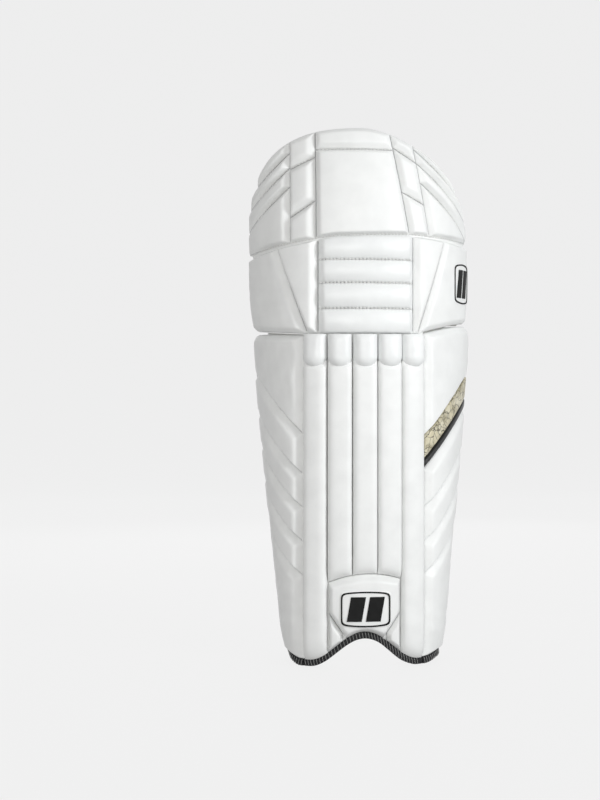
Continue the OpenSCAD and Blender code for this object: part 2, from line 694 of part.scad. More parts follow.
// The origin is under the middle of the whole pad
right_reach = upper_right + cover_t + 3;
left_reach = upper_left + cover_t + 3;
front_reach = knee_forward + roll_t;
rear_reach = calf_y + patch_t + strap_gap + webbing_t + strap_bow + 0.4 + badge_t;
module centred() translate([(left_reach - right_reach) / 2, (front_reach - rear_reach) / 2, 0]) children();

centred() thigh_board();
centred() thigh_center_panel();
centred() thigh_top_bar();
centred() thigh_left_column();
centred() thigh_right_column();
centred() thigh_side_ribs();
centred() thigh_lining();
centred() thigh_gold_panel();
centred() thigh_badge();
centred() thigh_piping();
centred() knee_board();
centred() knee_roll_upper();
centred() knee_roll_middle();
centred() knee_roll_lower();
centred() knee_band();
centred() knee_flanks();
centred() knee_wing_left();
centred() knee_wing_right();
centred() knee_side_badge();
centred() knee_cushion();
centred() knee_strap_patches();
centred() shin_board();
centred() cane_channel(1);  // cane_channel_1
centred() cane_channel(2);  // cane_channel_2
centred() cane_channel(3);  // cane_channel_3
centred() cane_channel(4);  // cane_channel_4
centred() cane_channel(5);  // cane_channel_5
centred() cane_rods();
centred() cane_caps();
centred() instep_panel();
centred() instep_wedges();
centred() instep_badge();
centred() bolster_left();
centred() bolster_right();
centred() shin_center_strip();
centred() shin_lining();
centred() instep_binding();
centred() wing_left_board();
centred() wing_left_panels();
centred() wing_left_fins();
centred() wing_left_lining();
centred() wing_left_edge_roll();
centred() wing_left_binding();
centred() loop_patches();
centred() wing_right_board();
centred() wing_right_panels();
centred() wing_right_fins();
centred() gold_flash();
centred() black_flash();
centred() wing_right_lining();
centred() wing_right_edge_roll();
centred() wing_right_binding();
centred() strap_anchors();
centred() knee_strap();
centred() knee_strap_tab();
centred() calf_strap();
centred() calf_strap_tab();
centred() calf_strap_badge();
centred() ankle_strap();
centred() ankle_strap_tab();
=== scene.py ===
import math

import bmesh
import bpy
import numpy as np
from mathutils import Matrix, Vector


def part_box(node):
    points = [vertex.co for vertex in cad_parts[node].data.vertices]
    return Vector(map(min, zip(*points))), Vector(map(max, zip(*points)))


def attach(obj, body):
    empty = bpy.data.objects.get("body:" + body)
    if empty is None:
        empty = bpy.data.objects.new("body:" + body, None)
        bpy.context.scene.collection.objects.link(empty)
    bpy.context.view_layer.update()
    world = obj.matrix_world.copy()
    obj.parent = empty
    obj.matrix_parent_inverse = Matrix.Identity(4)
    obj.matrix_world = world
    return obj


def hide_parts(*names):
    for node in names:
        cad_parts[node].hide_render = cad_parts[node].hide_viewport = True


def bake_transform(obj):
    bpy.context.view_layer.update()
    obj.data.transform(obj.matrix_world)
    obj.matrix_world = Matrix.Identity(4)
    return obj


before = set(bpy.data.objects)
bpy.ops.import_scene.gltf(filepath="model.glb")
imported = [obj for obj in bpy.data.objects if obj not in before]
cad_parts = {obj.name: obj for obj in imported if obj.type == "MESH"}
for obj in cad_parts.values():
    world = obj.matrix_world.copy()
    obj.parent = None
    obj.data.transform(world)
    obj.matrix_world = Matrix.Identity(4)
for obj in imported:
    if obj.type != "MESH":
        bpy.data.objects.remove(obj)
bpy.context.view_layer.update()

MM = 0.001
LEFT, RIGHT = -1, 1
NAMES = {LEFT: "left", RIGHT: "right"}
SHIN, UPPER = 0, 1

# ---- The common surface, with part.scad's driving sizes ----
FRONT_R = 160.0
HINGE_U = 80.0
PEAK_Z = 700.0
KNEE_Z = 431.0
THIGH_Z = 556.0
UPPER_HALF = {LEFT: 143.0, RIGHT: 149.0}
KNEE_TAPER = {LEFT: 14.0, RIGHT: 4.0}
KNEE_TAPER_SPAN = 115.0
SHOULDER = {LEFT: 4.5, RIGHT: 0.0}
SHOULDER_Z, SHOULDER_SPAN = 585.0, 45.0
FOOT_HALF = {LEFT: 90.0, RIGHT: 101.0}
SPREAD = {LEFT: 0.094, RIGHT: 0.118}
TUCK, TUCK_Z = 4.0, 40.0
KNEE_FORWARD = 6.0
FOOT_H = 9.0
FOOT_RISE = {LEFT: 8.0, RIGHT: 5.0}
WING_START = 81.6
REAR_LIP = 8.0
BIND_TOP = 118.0
LINING_IN = -12.7
PAD_D = -13.9
COVER = 6.0
TURN0 = HINGE_U / FRONT_R
X0 = FRONT_R * math.sin(TURN0)
Y0 = FRONT_R * (1 - math.cos(TURN0))
CHANNEL_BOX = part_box("cane_channel_3")
SHIFT = np.array([(CHANNEL_BOX[0].x + CHANNEL_BOX[1].x) / 2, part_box("shin_board")[0].y - 0.3 * MM, 0])


def by_side(u, table):
    return np.where(np.asarray(u) < 0, table[LEFT], table[RIGHT])


def half_width(part, u, z):
    if part == UPPER:
        taper = np.maximum(0, THIGH_Z - 10 - np.asarray(z, float)) / KNEE_TAPER_SPAN
        full = by_side(u, SHOULDER) * np.exp(-((np.asarray(z, float) - SHOULDER_Z) / SHOULDER_SPAN) ** 2)
        return by_side(u, UPPER_HALF) + full - by_side(u, KNEE_TAPER) * taper ** 3
    tuck = TUCK - TUCK * (np.maximum(0, TUCK_Z - z) / TUCK_Z) ** 2
    return by_side(u, FOOT_HALF) + by_side(u, SPREAD) * z + tuck


def wing_radius(part, u, z):
    return (half_width(part, u, z) - X0) / (1 - math.sin(TURN0))


def turn(part, u, z):
    a = np.abs(u)
    return np.where(a < HINGE_U, a / FRONT_R,
                    np.minimum(math.pi / 2, TURN0 + (a - HINGE_U) / wing_radius(part, u, z)))


def lean(part, z):
    if part == SHIN:
        return 0 * z
    return -KNEE_FORWARD + 0.001 * np.maximum(0, z - THIGH_Z + 4) ** 2


def outward(part, u, z):
    """Unit vectors that point out of the surface."""
    u, z = np.broadcast_arrays(np.asarray(u, float), np.asarray(z, float))
    f = turn(part, u, z)
    return np.stack([np.where(u < 0, -1, 1) * np.sin(f), -np.cos(f), 0 * f], -1)


def surface(part, u, z, d=0.0):
    """Points in metres, for places given in millimetres."""
    u, z, d = np.broadcast_arrays(np.asarray(u, float), np.asarray(z, float), np.asarray(d, float))
    a, f, r = np.abs(u), turn(part, u, z), wing_radius(part, u, z)
    straight = np.maximum(0, a - HINGE_U - r * (math.pi / 2 - TURN0))
    front = a < HINGE_U
    x = np.where(front, FRONT_R * np.sin(f), X0 + r * (np.sin(f) - math.sin(TURN0)))
    y = np.where(front, FRONT_R * (1 - np.cos(f)), Y0 + r * (math.cos(TURN0) - np.cos(f)) + straight)
    base = np.stack([np.where(u < 0, -1, 1) * x, y + lean(part, z), z], -1)
    return (base + outward(part, u, z) * d[..., None]) * MM + SHIFT


def u_at_depth(part, z, side, depth):
    """Distance round the pad at which the surface reaches a depth."""
    z = np.asarray(z, float)
    r = wing_radius(part, side, z)
    full = Y0 + r * math.cos(TURN0)
    angle = np.arccos(np.clip(math.cos(TURN0) - (depth - Y0) / r, -1, 1))
    return np.where(depth < full, HINGE_U + r * (angle - TURN0),
                    HINGE_U + r * (math.pi / 2 - TURN0) + depth - full)


FOOT_DEPTH, CALF_DEPTH, TOP_DEPTH = 112.0, 152.0, 122.0
CALF_Z, ABOVE_CALF = 300.0, 125.0


def wing_depth(z):
    """How far back a wing reaches: deepest at the calf."""
    z = np.asarray(z, float)
    below = FOOT_DEPTH + (CALF_DEPTH - FOOT_DEPTH) * np.sin(math.pi / 2 * z / CALF_Z)
    above = CALF_DEPTH - (CALF_DEPTH - TOP_DEPTH) * ((z - CALF_Z) / ABOVE_CALF) ** 3
    return np.where(z < CALF_Z, below, above)


def wing_end(z, side):
    return u_at_depth(SHIN, z, side, wing_depth(z))


KNEE_DEPTH = 104.0
KNEE_END = {side: float(u_at_depth(UPPER, THIGH_Z, side, KNEE_DEPTH)) for side in (LEFT, RIGHT)}


ARCH_HALF, ARCH_RISE = 72.0, 37.0


def arch(u):
    """The height of the arch over the instep."""
    u = np.asarray(u, float)
    rise = ARCH_RISE * np.cos(math.pi / 2 * u / ARCH_HALF) ** 2
    return np.where(np.abs(u) < ARCH_HALF, rise, 0)


def knee_bottom(u):
    u = np.asarray(u, float)
    right = KNEE_Z + 1 + 16 * (1 - ((197 - np.minimum(u, 197)) / 122) ** 2)
    return np.where(u < -HINGE_U, KNEE_Z + 0.05 * (-u - HINGE_U),
                    np.where(u > HINGE_U - 5, right, KNEE_Z))


def depth_of(part, u, z):
    return (surface(part, u, z)[..., 1] - SHIFT[1]) / MM


def shin_top(u):
    """The wings' top edge leaves room for the knee's travel and no more."""
    depth = depth_of(SHIN, u, KNEE_Z)
    return knee_bottom(u) - 0.8 - 0.028 * (depth + 2) - 0.08 * np.maximum(0, depth - 92)


def foot_rise(u):
    """The wings' bottom edge lifts a little behind the shin."""
    share = np.clip((np.abs(u) - 84) / 30, 0, 1)
    return by_side(u, FOOT_RISE) * share ** 2 * (3 - 2 * share)


SEAM_BENDS = (-40.0, 60.0)


def thigh_seam(u):
    """The seam under the thigh, in three nearly straight runs."""
    u = np.asarray(u, float)
    first, last = SEAM_BENDS
    return np.where(u < first, THIGH_Z + 0.145 * (u - first),
                    np.where(u > last, THIGH_Z + 3 - 0.045 * (u - last), THIGH_Z + 0.03 * (u - first)))


def thigh_gap(u):
    return 0.5 + 0.0235 * np.maximum(0, depth_of(UPPER, u, THIGH_Z))


def knee_top(u):
    return thigh_seam(u) - thigh_gap(u)


def thigh_bottom(u):
    return thigh_seam(u) + thigh_gap(u)


OVAL = {LEFT: (188.0, 546.0, 2.45), RIGHT: (190.0, 562.0, 1.5)}


def outline(u):
    """Height of the thigh's rounded top edge."""
    u = np.asarray(u, float)

    def oval(half, base, power):
        share = np.maximum(0, 1 - np.minimum(1, np.abs(u) / half) ** power)
        return base + (PEAK_Z - base) * share ** (1 / power)
    return np.where(u < 0, oval(*OVAL[LEFT]), oval(*OVAL[RIGHT]))


def level(value):
    return lambda x: value + 0 * np.asarray(x, float)


def line(value, slope, at=0.0):
    return lambda x: value + slope * (np.asarray(x, float) - at)


def moved(edge, by):
    return lambda x: edge(x) + by


def left_to_right(side, hinge, rear):
    """A wing's two upright edges in the order that panel_grid takes."""
    return (rear, hinge) if side == LEFT else (hinge, rear)


# ---- Materials ----
class Look:
    """One procedural material: a Principled shader and short helpers that add nodes to it."""

    def __init__(self, name, **sockets):
        self.material = bpy.data.materials.new(name)
        self.material.use_nodes = True
        self.tree = self.material.node_tree
        self.shader = self.tree.nodes["Principled BSDF"]
        for socket, value in sockets.items():
            self.shader.inputs[socket.replace("_", " ")].default_value = value
        self.normal = None

    def node(self, kind, inputs=None, **settings):
        made = self.tree.nodes.new("ShaderNode" + kind)
        for key, value in settings.items():
            setattr(made, key, value)
        for key, value in (inputs or {}).items():
            self.feed(value, made.inputs[key])
        return made

    def feed(self, value, socket):
        if isinstance(value, bpy.types.NodeSocket):
            self.tree.links.new(value, socket)
        else:
            socket.default_value = value

    def math(self, operation, a, b=0.0):
        return self.node("Math", {0: a, 1: b}, operation=operation).outputs[0]

    def ridges(self, angle):
        return self.math("ABSOLUTE", self.math("SINE", angle))

    def threads(self, place, step):
        """Rounded rows, one for each step."""
        return self.ridges(self.math("MULTIPLY", place, math.pi / step))

    def place(self):
        return self.node("TexCoord").outputs["Object"]

    def on_pad(self):
        """The place on the surface: u, z and d in metres."""
        return self.node("Attribute", attribute_name="pad").outputs["Vector"]

    def seam(self):
        """The distance from the nearest seam, in millimetres, which sets where the leathers' painted seam
        shade falls.
        """
        return self.node("Attribute", attribute_name="seam").outputs["Fac"]

    def noise(self, scale, detail=3.0, where=None, out="Fac"):
        return self.node("TexNoise", {"Vector": where or self.place(), "Scale": scale,
                                      "Detail": detail}).outputs[out]

    def cells(self, scale, where=None, feature="F1", out="Distance"):
        return self.node("TexVoronoi", {"Vector": where or self.place(), "Scale": scale},
                         feature=feature).outputs[out]

    def ramp(self, value, stops, interpolation="LINEAR"):
        made = self.node("ValToRGB", {"Fac": value})
        made.color_ramp.interpolation = interpolation
        points = made.color_ramp.elements
        while len(points) < len(stops):
            points.new(0.5)
        for point, (position, shade) in zip(points, stops):
            point.position = position
            point.color = (*shade, 1) if isinstance(shade, tuple) else (shade, shade, shade, 1)
        return made.outputs["Color"]

    def mix(self, share, a, b, blend_type="MIX"):
        made = self.node("Mix", data_type="RGBA", blend_type=blend_type)
        for key, value in ((0, share), (6, a), (7, b)):
            if isinstance(value, tuple):
                value = (*value, 1)
            self.feed(value, made.inputs[key])
        return made.outputs[2]

    def colour(self, value):
        self.feed(value, self.shader.inputs["Base Color"])

    def roughness(self, value, low, high):
        made = self.node("MapRange", {"Value": value, "To Min": low, "To Max": high})
        self.feed(made.outputs[0], self.shader.inputs["Roughness"])

    def bump(self, height, strength, distance):
        inputs = {"Height": height, "Strength": strength, "Distance": distance}
        if self.normal:
            inputs["Normal"] = self.normal
        self.normal = self.node("Bump", inputs).outputs[0]
        self.feed(self.normal, self.shader.inputs["Normal"])


def leather(name, pale, seam_shade, rough=(0.36, 0.5)):
    """Coated leather: fine pebble grain, faint handling marks, and painted shade along the seams."""
    look = Look(name, Specular_IOR_Level=0.45)
    grain = look.cells(900)
    marks = look.noise(38, 5)
    dull = tuple(0.955 * c for c in pale)
    skin = look.ramp(marks, [(0.35, dull), (0.62, pale)])
    # Painted shade: within 0.8 mm of a seam the colour darkens to seam_shade.
    near = look.node("MapRange", {"Value": look.seam(), "From Min": 0.0, "From Max": 0.8},
                     interpolation_type="SMOOTHSTEP").outputs[0]
    look.colour(look.mix(near, seam_shade, skin))
    look.roughness(look.noise(160, 4), *rough)
    look.bump(grain, 0.16, 0.0004)
    look.bump(look.noise(260, 3), 0.12, 0.0006)
    return look.material


def weave(look, where, pitch, strength, distance):
    """A plain weave bump from two crossing rows of threads."""
    split = look.node("SeparateXYZ", {"Vector": where})
    rows = [look.threads(split.outputs[k], pitch) for k in range(2)]
    height = look.math("MULTIPLY", *rows)
    look.bump(height, strength, distance)
    return height


def lozenges(look, where, wide, tall):
    """Zero on a grid of slanted threads, one in the middle of each lozenge."""
    split = look.node("SeparateXYZ", {"Vector": where})
    a = look.math("MULTIPLY", split.outputs[0], math.pi / wide)
    b = look.math("MULTIPLY", split.outputs[1], math.pi / tall)
    both = [look.ridges(look.math(op, a, b)) for op in ("ADD", "SUBTRACT")]
    return look.math("MULTIPLY", *both)


def fabric(name, shade, pitch, depth):
    look = Look(name, Sheen_Weight=0.15, Sheen_Roughness=0.5)
    height = weave(look, look.on_pad(), pitch, 0.5, depth)
    cloth = look.ramp(look.noise(60, 4), [(0.3, tuple(0.93 * c for c in shade)), (0.7, shade)])
    look.colour(look.mix(look.ramp(height, [(0.0, 0.0), (0.5, 1.0)]), tuple(0.8 * c for c in shade), cloth))
    look.roughness(look.noise(300, 2), 0.62, 0.78)
    look.bump(look.noise(45, 4), 0.18, 0.002)
    return look.material


def mesh_fabric(name):
    """Spacer mesh with small lozenge openings."""
    look = Look(name, Sheen_Weight=0.1)
    open_ = lozenges(look, look.on_pad(), 0.0042, 0.0030)
    shades = [(0.1, (0.80, 0.80, 0.76)), (0.55, (0.66, 0.66, 0.62)), (0.95, (0.46, 0.46, 0.42))]
    look.colour(look.ramp(open_, shades))
    look.roughness(look.noise(200, 2), 0.6, 0.8)
    look.bump(look.ramp(open_, [(0.0, 1.0), (0.8, 0.0)]), 0.7, 0.0007)
    return look.material


def gold_crackle(name, deep, pale, worn_tone, metal):
    """Foil leather, crazed with dark cracks of two sizes."""
    look = Look(name, Metallic=metal, Specular_IOR_Level=0.5)
    place = look.place()
    push = look.noise(70, 3, place, "Color")
    shaken = look.node("Mix", {0: 0.012, 4: place, 5: push}, data_type="VECTOR").outputs[1]
    large = look.cells(92, shaken, "DISTANCE_TO_EDGE")
    small = look.cells(215, shaken, "DISTANCE_TO_EDGE")
    tone = look.cells(92, shaken, out="Color")
    worn = look.noise(55, 5)
    foil = look.mix(look.math("MULTIPLY", tone, 0.8), deep, pale)
    foil = look.mix(look.ramp(worn, [(0.42, 0.0), (0.62, 0.75)]), foil, worn_tone)
    fine = look.math("MULTIPLY", look.ramp(small, [(0.01, 1.0), (0.05, 0.0)]),
                     look.ramp(worn, [(0.45, 0.0), (0.55, 0.8)]))
    foil = look.mix(fine, foil, (0.06, 0.05, 0.02))
    crack = look.ramp(large, [(0.012, 1.0), (0.045, 0.0)])
    look.colour(look.mix(crack, foil, (0.035, 0.03, 0.015)))
    look.roughness(worn, 0.28, 0.5)
    look.bump(look.ramp(large, [(0.0, 0.0), (0.07, 1.0)]), 0.5, 0.0006)
    return look.material


def black_vinyl(name, shade=0.012, rough=(0.32, 0.5), shine=0.45):
    look = Look(name, Specular_IOR_Level=shine)
    look.colour(look.ramp(look.noise(120, 4), [(0.3, shade), (0.7, shade * 1.9)]))
    look.roughness(look.noise(200, 3), *rough)
    look.bump(look.cells(1100), 0.2, 0.0003)
    return look.material


def tape(name, shade, scale, rough):
    """Brushed loop tape or its stiff hook side."""
    look = Look(name, Sheen_Weight=0.06, Sheen_Roughness=0.6, Specular_IOR_Level=0.2)
    fibre = look.cells(scale)
    look.colour(look.ramp(fibre, [(0.1, tuple(1.7 * c for c in shade)), (0.7, shade)]))
    look.roughness(look.noise(400, 2), rough - 0.06, rough + 0.06)
    look.bump(fibre, 0.6, 0.0007)
    look.bump(look.noise(900, 3), 0.5, 0.0005)
    return look.material


def braid(name, shade, light):
    """Woven edge tape with small slanted threads."""
    look = Look(name, Specular_IOR_Level=0.25)
    height = lozenges(look, look.on_pad(), 0.0026, 0.0026)
    look.colour(look.ramp(height, [(0.1, shade), (0.8, light)]))
    look.roughness(look.noise(300, 2), 0.6, 0.75)
    look.bump(height, 0.6, 0.0005)
    return look.material


def thread(name, shade):
    look = Look(name, Sheen_Weight=0.2)
    twist = look.noise(1500, 2)
    look.colour(look.ramp(twist, [(0.3, tuple(0.8 * c for c in shade)), (0.7, shade)]))
    look.roughness(twist, 0.5, 0.7)
    look.bump(twist, 0.4, 0.0002)
    return look.material


def webbing_look(name, stops):
    """Ribbed webbing. The pad attribute holds the place along it and, as y, the share of its width."""
    look = Look(name, Sheen_Weight=0.04, Specular_IOR_Level=0.25)
    split = look.node("SeparateXYZ", {"Vector": look.on_pad()})
    along, across = split.outputs[0], split.outputs[1]
    ribs = look.threads(along, 0.0016)
    rows = look.threads(across, 0.03)
    stripes = look.ramp(across, stops, "CONSTANT")
    knit = look.ramp(look.math("MULTIPLY", ribs, rows), [(0.0, 0.62), (0.5, 1.0)])
    look.colour(look.mix(1.0, stripes, knit, "MULTIPLY"))
    look.roughness(look.noise(300, 2), 0.55, 0.7)
    look.bump(ribs, 0.5, 0.0005)
    look.bump(rows, 0.3, 0.0004)
    return look.material


def cane_wood(name):
    look = Look(name)
    stretched = look.node("Mapping", {"Vector": look.place(), "Scale": (1, 1, 0.05)}).outputs[0]
    shades = [(0.3, (0.42, 0.27, 0.12)), (0.7, (0.62, 0.44, 0.22))]
    look.colour(look.ramp(look.noise(900, 4, stretched), shades))
    look.roughness(look.noise(300, 2), 0.4, 0.6)
    look.bump(look.noise(900, 4, stretched), 0.3, 0.0004)
    return look.material


# Each leather's second colour is the painted shade along its seams.
WHITE = leather("white_leather", (0.86, 0.865, 0.855), (0.52, 0.53, 0.53))
ROLL_WHITE = leather("roll_leather", (0.86, 0.87, 0.865), (0.60, 0.61, 0.62), (0.3, 0.44))
GLOSS = leather("gloss_leather", (0.80, 0.81, 0.81), (0.6, 0.6, 0.6), (0.34, 0.46))
CUSHION = fabric("cushion_fabric", (0.88, 0.87, 0.82), 0.0016, 0.0004)
MESH = mesh_fabric("mesh_lining")
GOLD = gold_crackle("gold_foil", (0.34, 0.26, 0.06), (0.54, 0.43, 0.15), (0.17, 0.14, 0.04), 0.35)
PALE_GOLD = gold_crackle("pale_gold_foil", (0.56, 0.50, 0.33), (0.82, 0.79, 0.66), (0.36, 0.32, 0.20), 0.12)
BLACK = black_vinyl("black_vinyl")
INK = black_vinyl("black_print", 0.004, (0.5, 0.65), 0.15)
BRAID = braid("black_braid", (0.005, 0.005, 0.006), (0.022, 0.022, 0.024))
LOOP = tape("loop_tape", (0.005, 0.006, 0.008), 1500, 0.85)
HOOK = tape("hook_tape", (0.03, 0.031, 0.033), 700, 0.6)
THREAD = thread("white_thread", (0.80, 0.80, 0.78))
WHIP_THREAD = thread("whip_thread", (0.32, 0.32, 0.31))
DARK_THREAD = thread("grey_thread", (0.30, 0.31, 0.31))
CANE = cane_wood("cane")
PALE = (0.80, 0.80, 0.78)
JET = (0.008, 0.009, 0.011)
GILT = (0.46, 0.34, 0.08)
STRIPES = webbing_look("striped_webbing", [(0.0, PALE), (0.43, GILT), (0.53, JET), (0.75, PALE),
                                           (0.975, JET)])
NARROW_STRIPES = webbing_look("narrow_webbing", [(0.0, PALE), (0.30, GILT), (0.40, PALE), (0.52, JET),
                                                 (0.80, PALE), (0.955, JET)])


# ---- Mesh building ----
def crowded(length, step, first=0.3):
    """Shares from 0 to 1 along a side, crowded towards both ends where the seams and bevels are."""
    places = [0.0]
    while places[-1] < length / 2:
        places.append(places[-1] + min(step, first + 0.2 * places[-1]))
    half = np.array(places) / (2 * places[-1])
    return np.concatenate([half, 1 - half[-2::-1]])


def even(length, step):
    return np.linspace(0, 1, max(2, int(round(length / step)) + 1))


def ripple(u, z, seed, long=60.0, short=14.0):
    """Soft uneven swell between -1 and 1, from a few seeded waves."""
    waves = 7
    random = np.random.default_rng(seed)
    total = 0
    for _ in range(waves):
        length = random.uniform(short, long)
        angle, phase = random.uniform(0, math.pi), random.uniform(0, 6.28)
        total = total + np.sin(2 * math.pi / length * (u * math.cos(angle) + z * math.sin(angle)) + phase)
    return total / waves * 1.6


def run_along(path):
    """The distance from a path's start to each of its points."""
    return np.concatenate([[0], np.cumsum(np.linalg.norm(np.diff(path, axis=0), axis=1))])


def ring_faces(rows, count, closed=True):
    """The faces of a tube of rings, count points in each."""
    faces = []
    for i in range(rows - 1):
        for k in range(count):
            a, b = i * count + k, i * count + (k + 1) % count
            faces.append([a, b, b + count, a + count])
    if closed:
        faces += [list(range(count)), [(rows - 1) * count + k for k in range(count)]]
    return faces


NO_SEAM = 9.0
SHARP_ANGLE = 42


class Shape:
    """Collects closed stretches of mesh and makes them one object."""

    def __init__(self):
        self.points, self.faces, self.slots, self.pad, self.seam = [], [], [], [], []
        self.count = 0

    def add(self, points, faces, slots=0, pad=None, seam=None):
        points = np.asarray(points, float).reshape(-1, 3)
        self.points.append(points)
        self.faces += [[i + self.count for i in face] for face in faces]
        self.slots += list(slots) if hasattr(slots, "__len__") else [slots] * len(faces)
        self.pad.append(points if pad is None else np.asarray(pad, float).reshape(-1, 3))
        self.seam.append(np.full(len(points), NO_SEAM) if seam is None else np.asarray(seam, float).ravel())
        self.count += len(points)

    def shell(self, outer, inner, pad=None, seam=None, slots=(0, 0, 0)):
        """A closed slab between two grids. slots are those of the outer face, the rim and the inner face."""
        rows, columns = outer.shape[:2]
        total = rows * columns
        index = np.arange(total).reshape(rows, columns)
        front = np.stack([index[:-1, :-1], index[:-1, 1:], index[1:, 1:], index[1:, :-1]], -1).reshape(-1, 4)
        ring = np.concatenate([index[0, :-1], index[:-1, -1], index[-1, :0:-1], index[:0:-1, 0]])
        after = np.roll(ring, -1)
        rim = np.stack([ring, ring + total, after + total, after], -1)
        faces = np.concatenate([front, rim, front[:, ::-1] + total]).tolist()
        kinds = [slots[0]] * len(front) + [slots[1]] * len(rim) + [slots[2]] * len(front)
        both = None if pad is None else np.concatenate([pad.reshape(-1, 3)] * 2)
        edge = None if seam is None else np.concatenate([seam.ravel(), np.full(total, NO_SEAM)])
        self.add(np.concatenate([outer.reshape(-1, 3), inner.reshape(-1, 3)]), faces, kinds, both, edge)

    def slab(self, part, u, z, outer_d, inner_d, seam=None, slots=(0, 0, 0)):
        """A closed slab that lies on the pad's surface, between two distances out of it."""
        pad = np.stack([u, z, 0 * u], -1) * MM
        self.shell(surface(part, u, z, outer_d), surface(part, u, z, inner_d), pad, seam, slots)

    def tube(self, path, radius, sides=6, up=(0, 0, 1), pad=None):
        """A closed tube along a path of points in metres."""
        path = np.asarray(path, float)
        along = np.gradient(path, axis=0)
        along /= np.linalg.norm(along, axis=1)[:, None] + 1e-12
        side = np.cross(along, np.asarray(up, float))
        side /= np.linalg.norm(side, axis=1)[:, None] + 1e-12
        top = np.cross(side, along)
        angle = np.arange(sides) * 2 * math.pi / sides
        radius = np.broadcast_to(np.asarray(radius, float), (len(path),))[:, None, None]
        ring = side[:, None] * np.cos(angle)[None, :, None] + top[:, None] * np.sin(angle)[None, :, None]
        if pad is not None:
            pad = np.repeat(np.asarray(pad, float), sides, axis=0)
        self.add(path[:, None] + ring * radius, ring_faces(len(path), sides), 0, pad)

    def stitches(self, path, out, length, pitch, radius):
        """Short threads laid end to end along a path, each a capsule that arches a little off the surface."""
        path, out = np.asarray(path, float), np.asarray(out, float)
        run = run_along(path)
        share = np.array([-0.5, -0.32, 0, 0.32, 0.5])[:, None]
        bow = np.array([-0.5, 0.35, 0.7, 0.35, -0.5])[:, None]
        thickness = np.array([0.5, 0.95, 1, 0.95, 0.5])

        def at(where, table):
            return np.array([np.interp(where, run, table[:, k]) for k in range(3)])
        for centre in np.arange(pitch / 2, run[-1] - pitch / 3, pitch):
            normal = at(centre, out)
            normal /= np.linalg.norm(normal)
            along = at(centre + length / 2, path) - at(centre - length / 2, path)
            along /= np.linalg.norm(along) + 1e-12
            thread_path = at(centre, path) + along * share * length + normal * bow * radius
            self.tube(thread_path, radius * thickness, 6, normal)

    def make(self, name, looks):
        mesh = bpy.data.meshes.new(name)
        points = np.concatenate(self.points)
        mesh.from_pydata(points.tolist(), [], self.faces)
        for look in looks if isinstance(looks, (list, tuple)) else [looks]:
            mesh.materials.append(look)
        mesh.polygons.foreach_set("material_index", np.array(self.slots, np.int32))
        mesh.polygons.foreach_set("use_smooth", np.ones(len(mesh.polygons), bool))
        pad = mesh.attributes.new("pad", "FLOAT_VECTOR", "POINT")
        pad.data.foreach_set("vector", np.concatenate(self.pad).astype(np.float32).ravel())
        seam = mesh.attributes.new("seam", "FLOAT", "POINT")
        seam.data.foreach_set("value", np.concatenate(self.seam).astype(np.float32))
        work = bmesh.new()
        work.from_mesh(mesh)
        bmesh.ops.remove_doubles(work, verts=work.verts, dist=1e-7)
        bmesh.ops.recalc_face_normals(work, faces=work.faces)
        work.to_mesh(mesh)
        work.free()
        mesh.set_sharp_from_angle(angle=math.radians(SHARP_ANGLE))
        made = bpy.data.objects.new(name, mesh)
        bpy.context.scene.collection.objects.link(made)
        return made

    def piece(self, name, looks, body, slot="white_leather", stands_for=(), fill=None):
        finish_piece(self.make(name, looks), body, slot, stands_for)


FIRM, SEWN = 0.9, 0.8


def finish_piece(piece, body, slot, stands_for=()):
    """Rides a piece on its body and hides the model parts that it stands for."""
    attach(piece, body)
    if stands_for:
        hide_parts(*stands_for)


def panel_grid(left, right, bottom, top, step, spacing=crowded):
    """Places u, z over a panel whose sides depend on z and whose ends depend on u, and the distances
    from its four edges, in the order left, right, bottom, top."""
    u_mid = float(left(np.array(0.0)) + right(np.array(0.0))) / 2
    for _ in range(6):
        z_mid = float(bottom(u_mid) + top(u_mid)) / 2
        u_mid = float(left(z_mid) + right(z_mid)) / 2
    wide = float(right(z_mid) - left(z_mid))
    tall = max(float(top(v) - bottom(v)) for v in np.linspace(u_mid - wide / 3, u_mid + wide / 3, 5))
    s, t = np.meshgrid(spacing(wide, step), spacing(tall, step))
    u, z = u_mid + 0 * s, z_mid + 0 * s
    for _ in range(14):
        u = left(z) * (1 - s) + right(z) * s
        z = bottom(u) * (1 - t) + top(u) * t

    def across(gap, edge, x):
        slope = edge(x + 0.5) - edge(x - 0.5)
        return np.maximum(0, gap / np.sqrt(1 + slope ** 2))
    near = [across(u - left(z), left, z), across(right(z) - u, right, z),
            across(z - bottom(u), bottom, u), across(top(u) - z, top, u)]
    return u, z, near, s, t


def padded_rise(near, bevels):
    """From 0 at the edges to 1 on the flat, up straight bevels that meet in mitred corners."""
    crisp = 0.07
    ramps = []
    for gap, width in zip(near, bevels):
        x = gap / width
        ramps.append((x + 1 - np.sqrt((x - 1) ** 2 + 0.012)) / 2 + 0.003)
    lowest = -crisp * np.log(sum(np.exp(-r / crisp) for r in ramps))
    full = 1 - crisp * math.log(len(ramps))
    return np.clip(lowest / full, 0, 1.02)


PANEL_BASE, PANEL_BACK, SEAM_GAP = 0.3, 0.1, 0.08
PUCKER_PITCH = 5.3


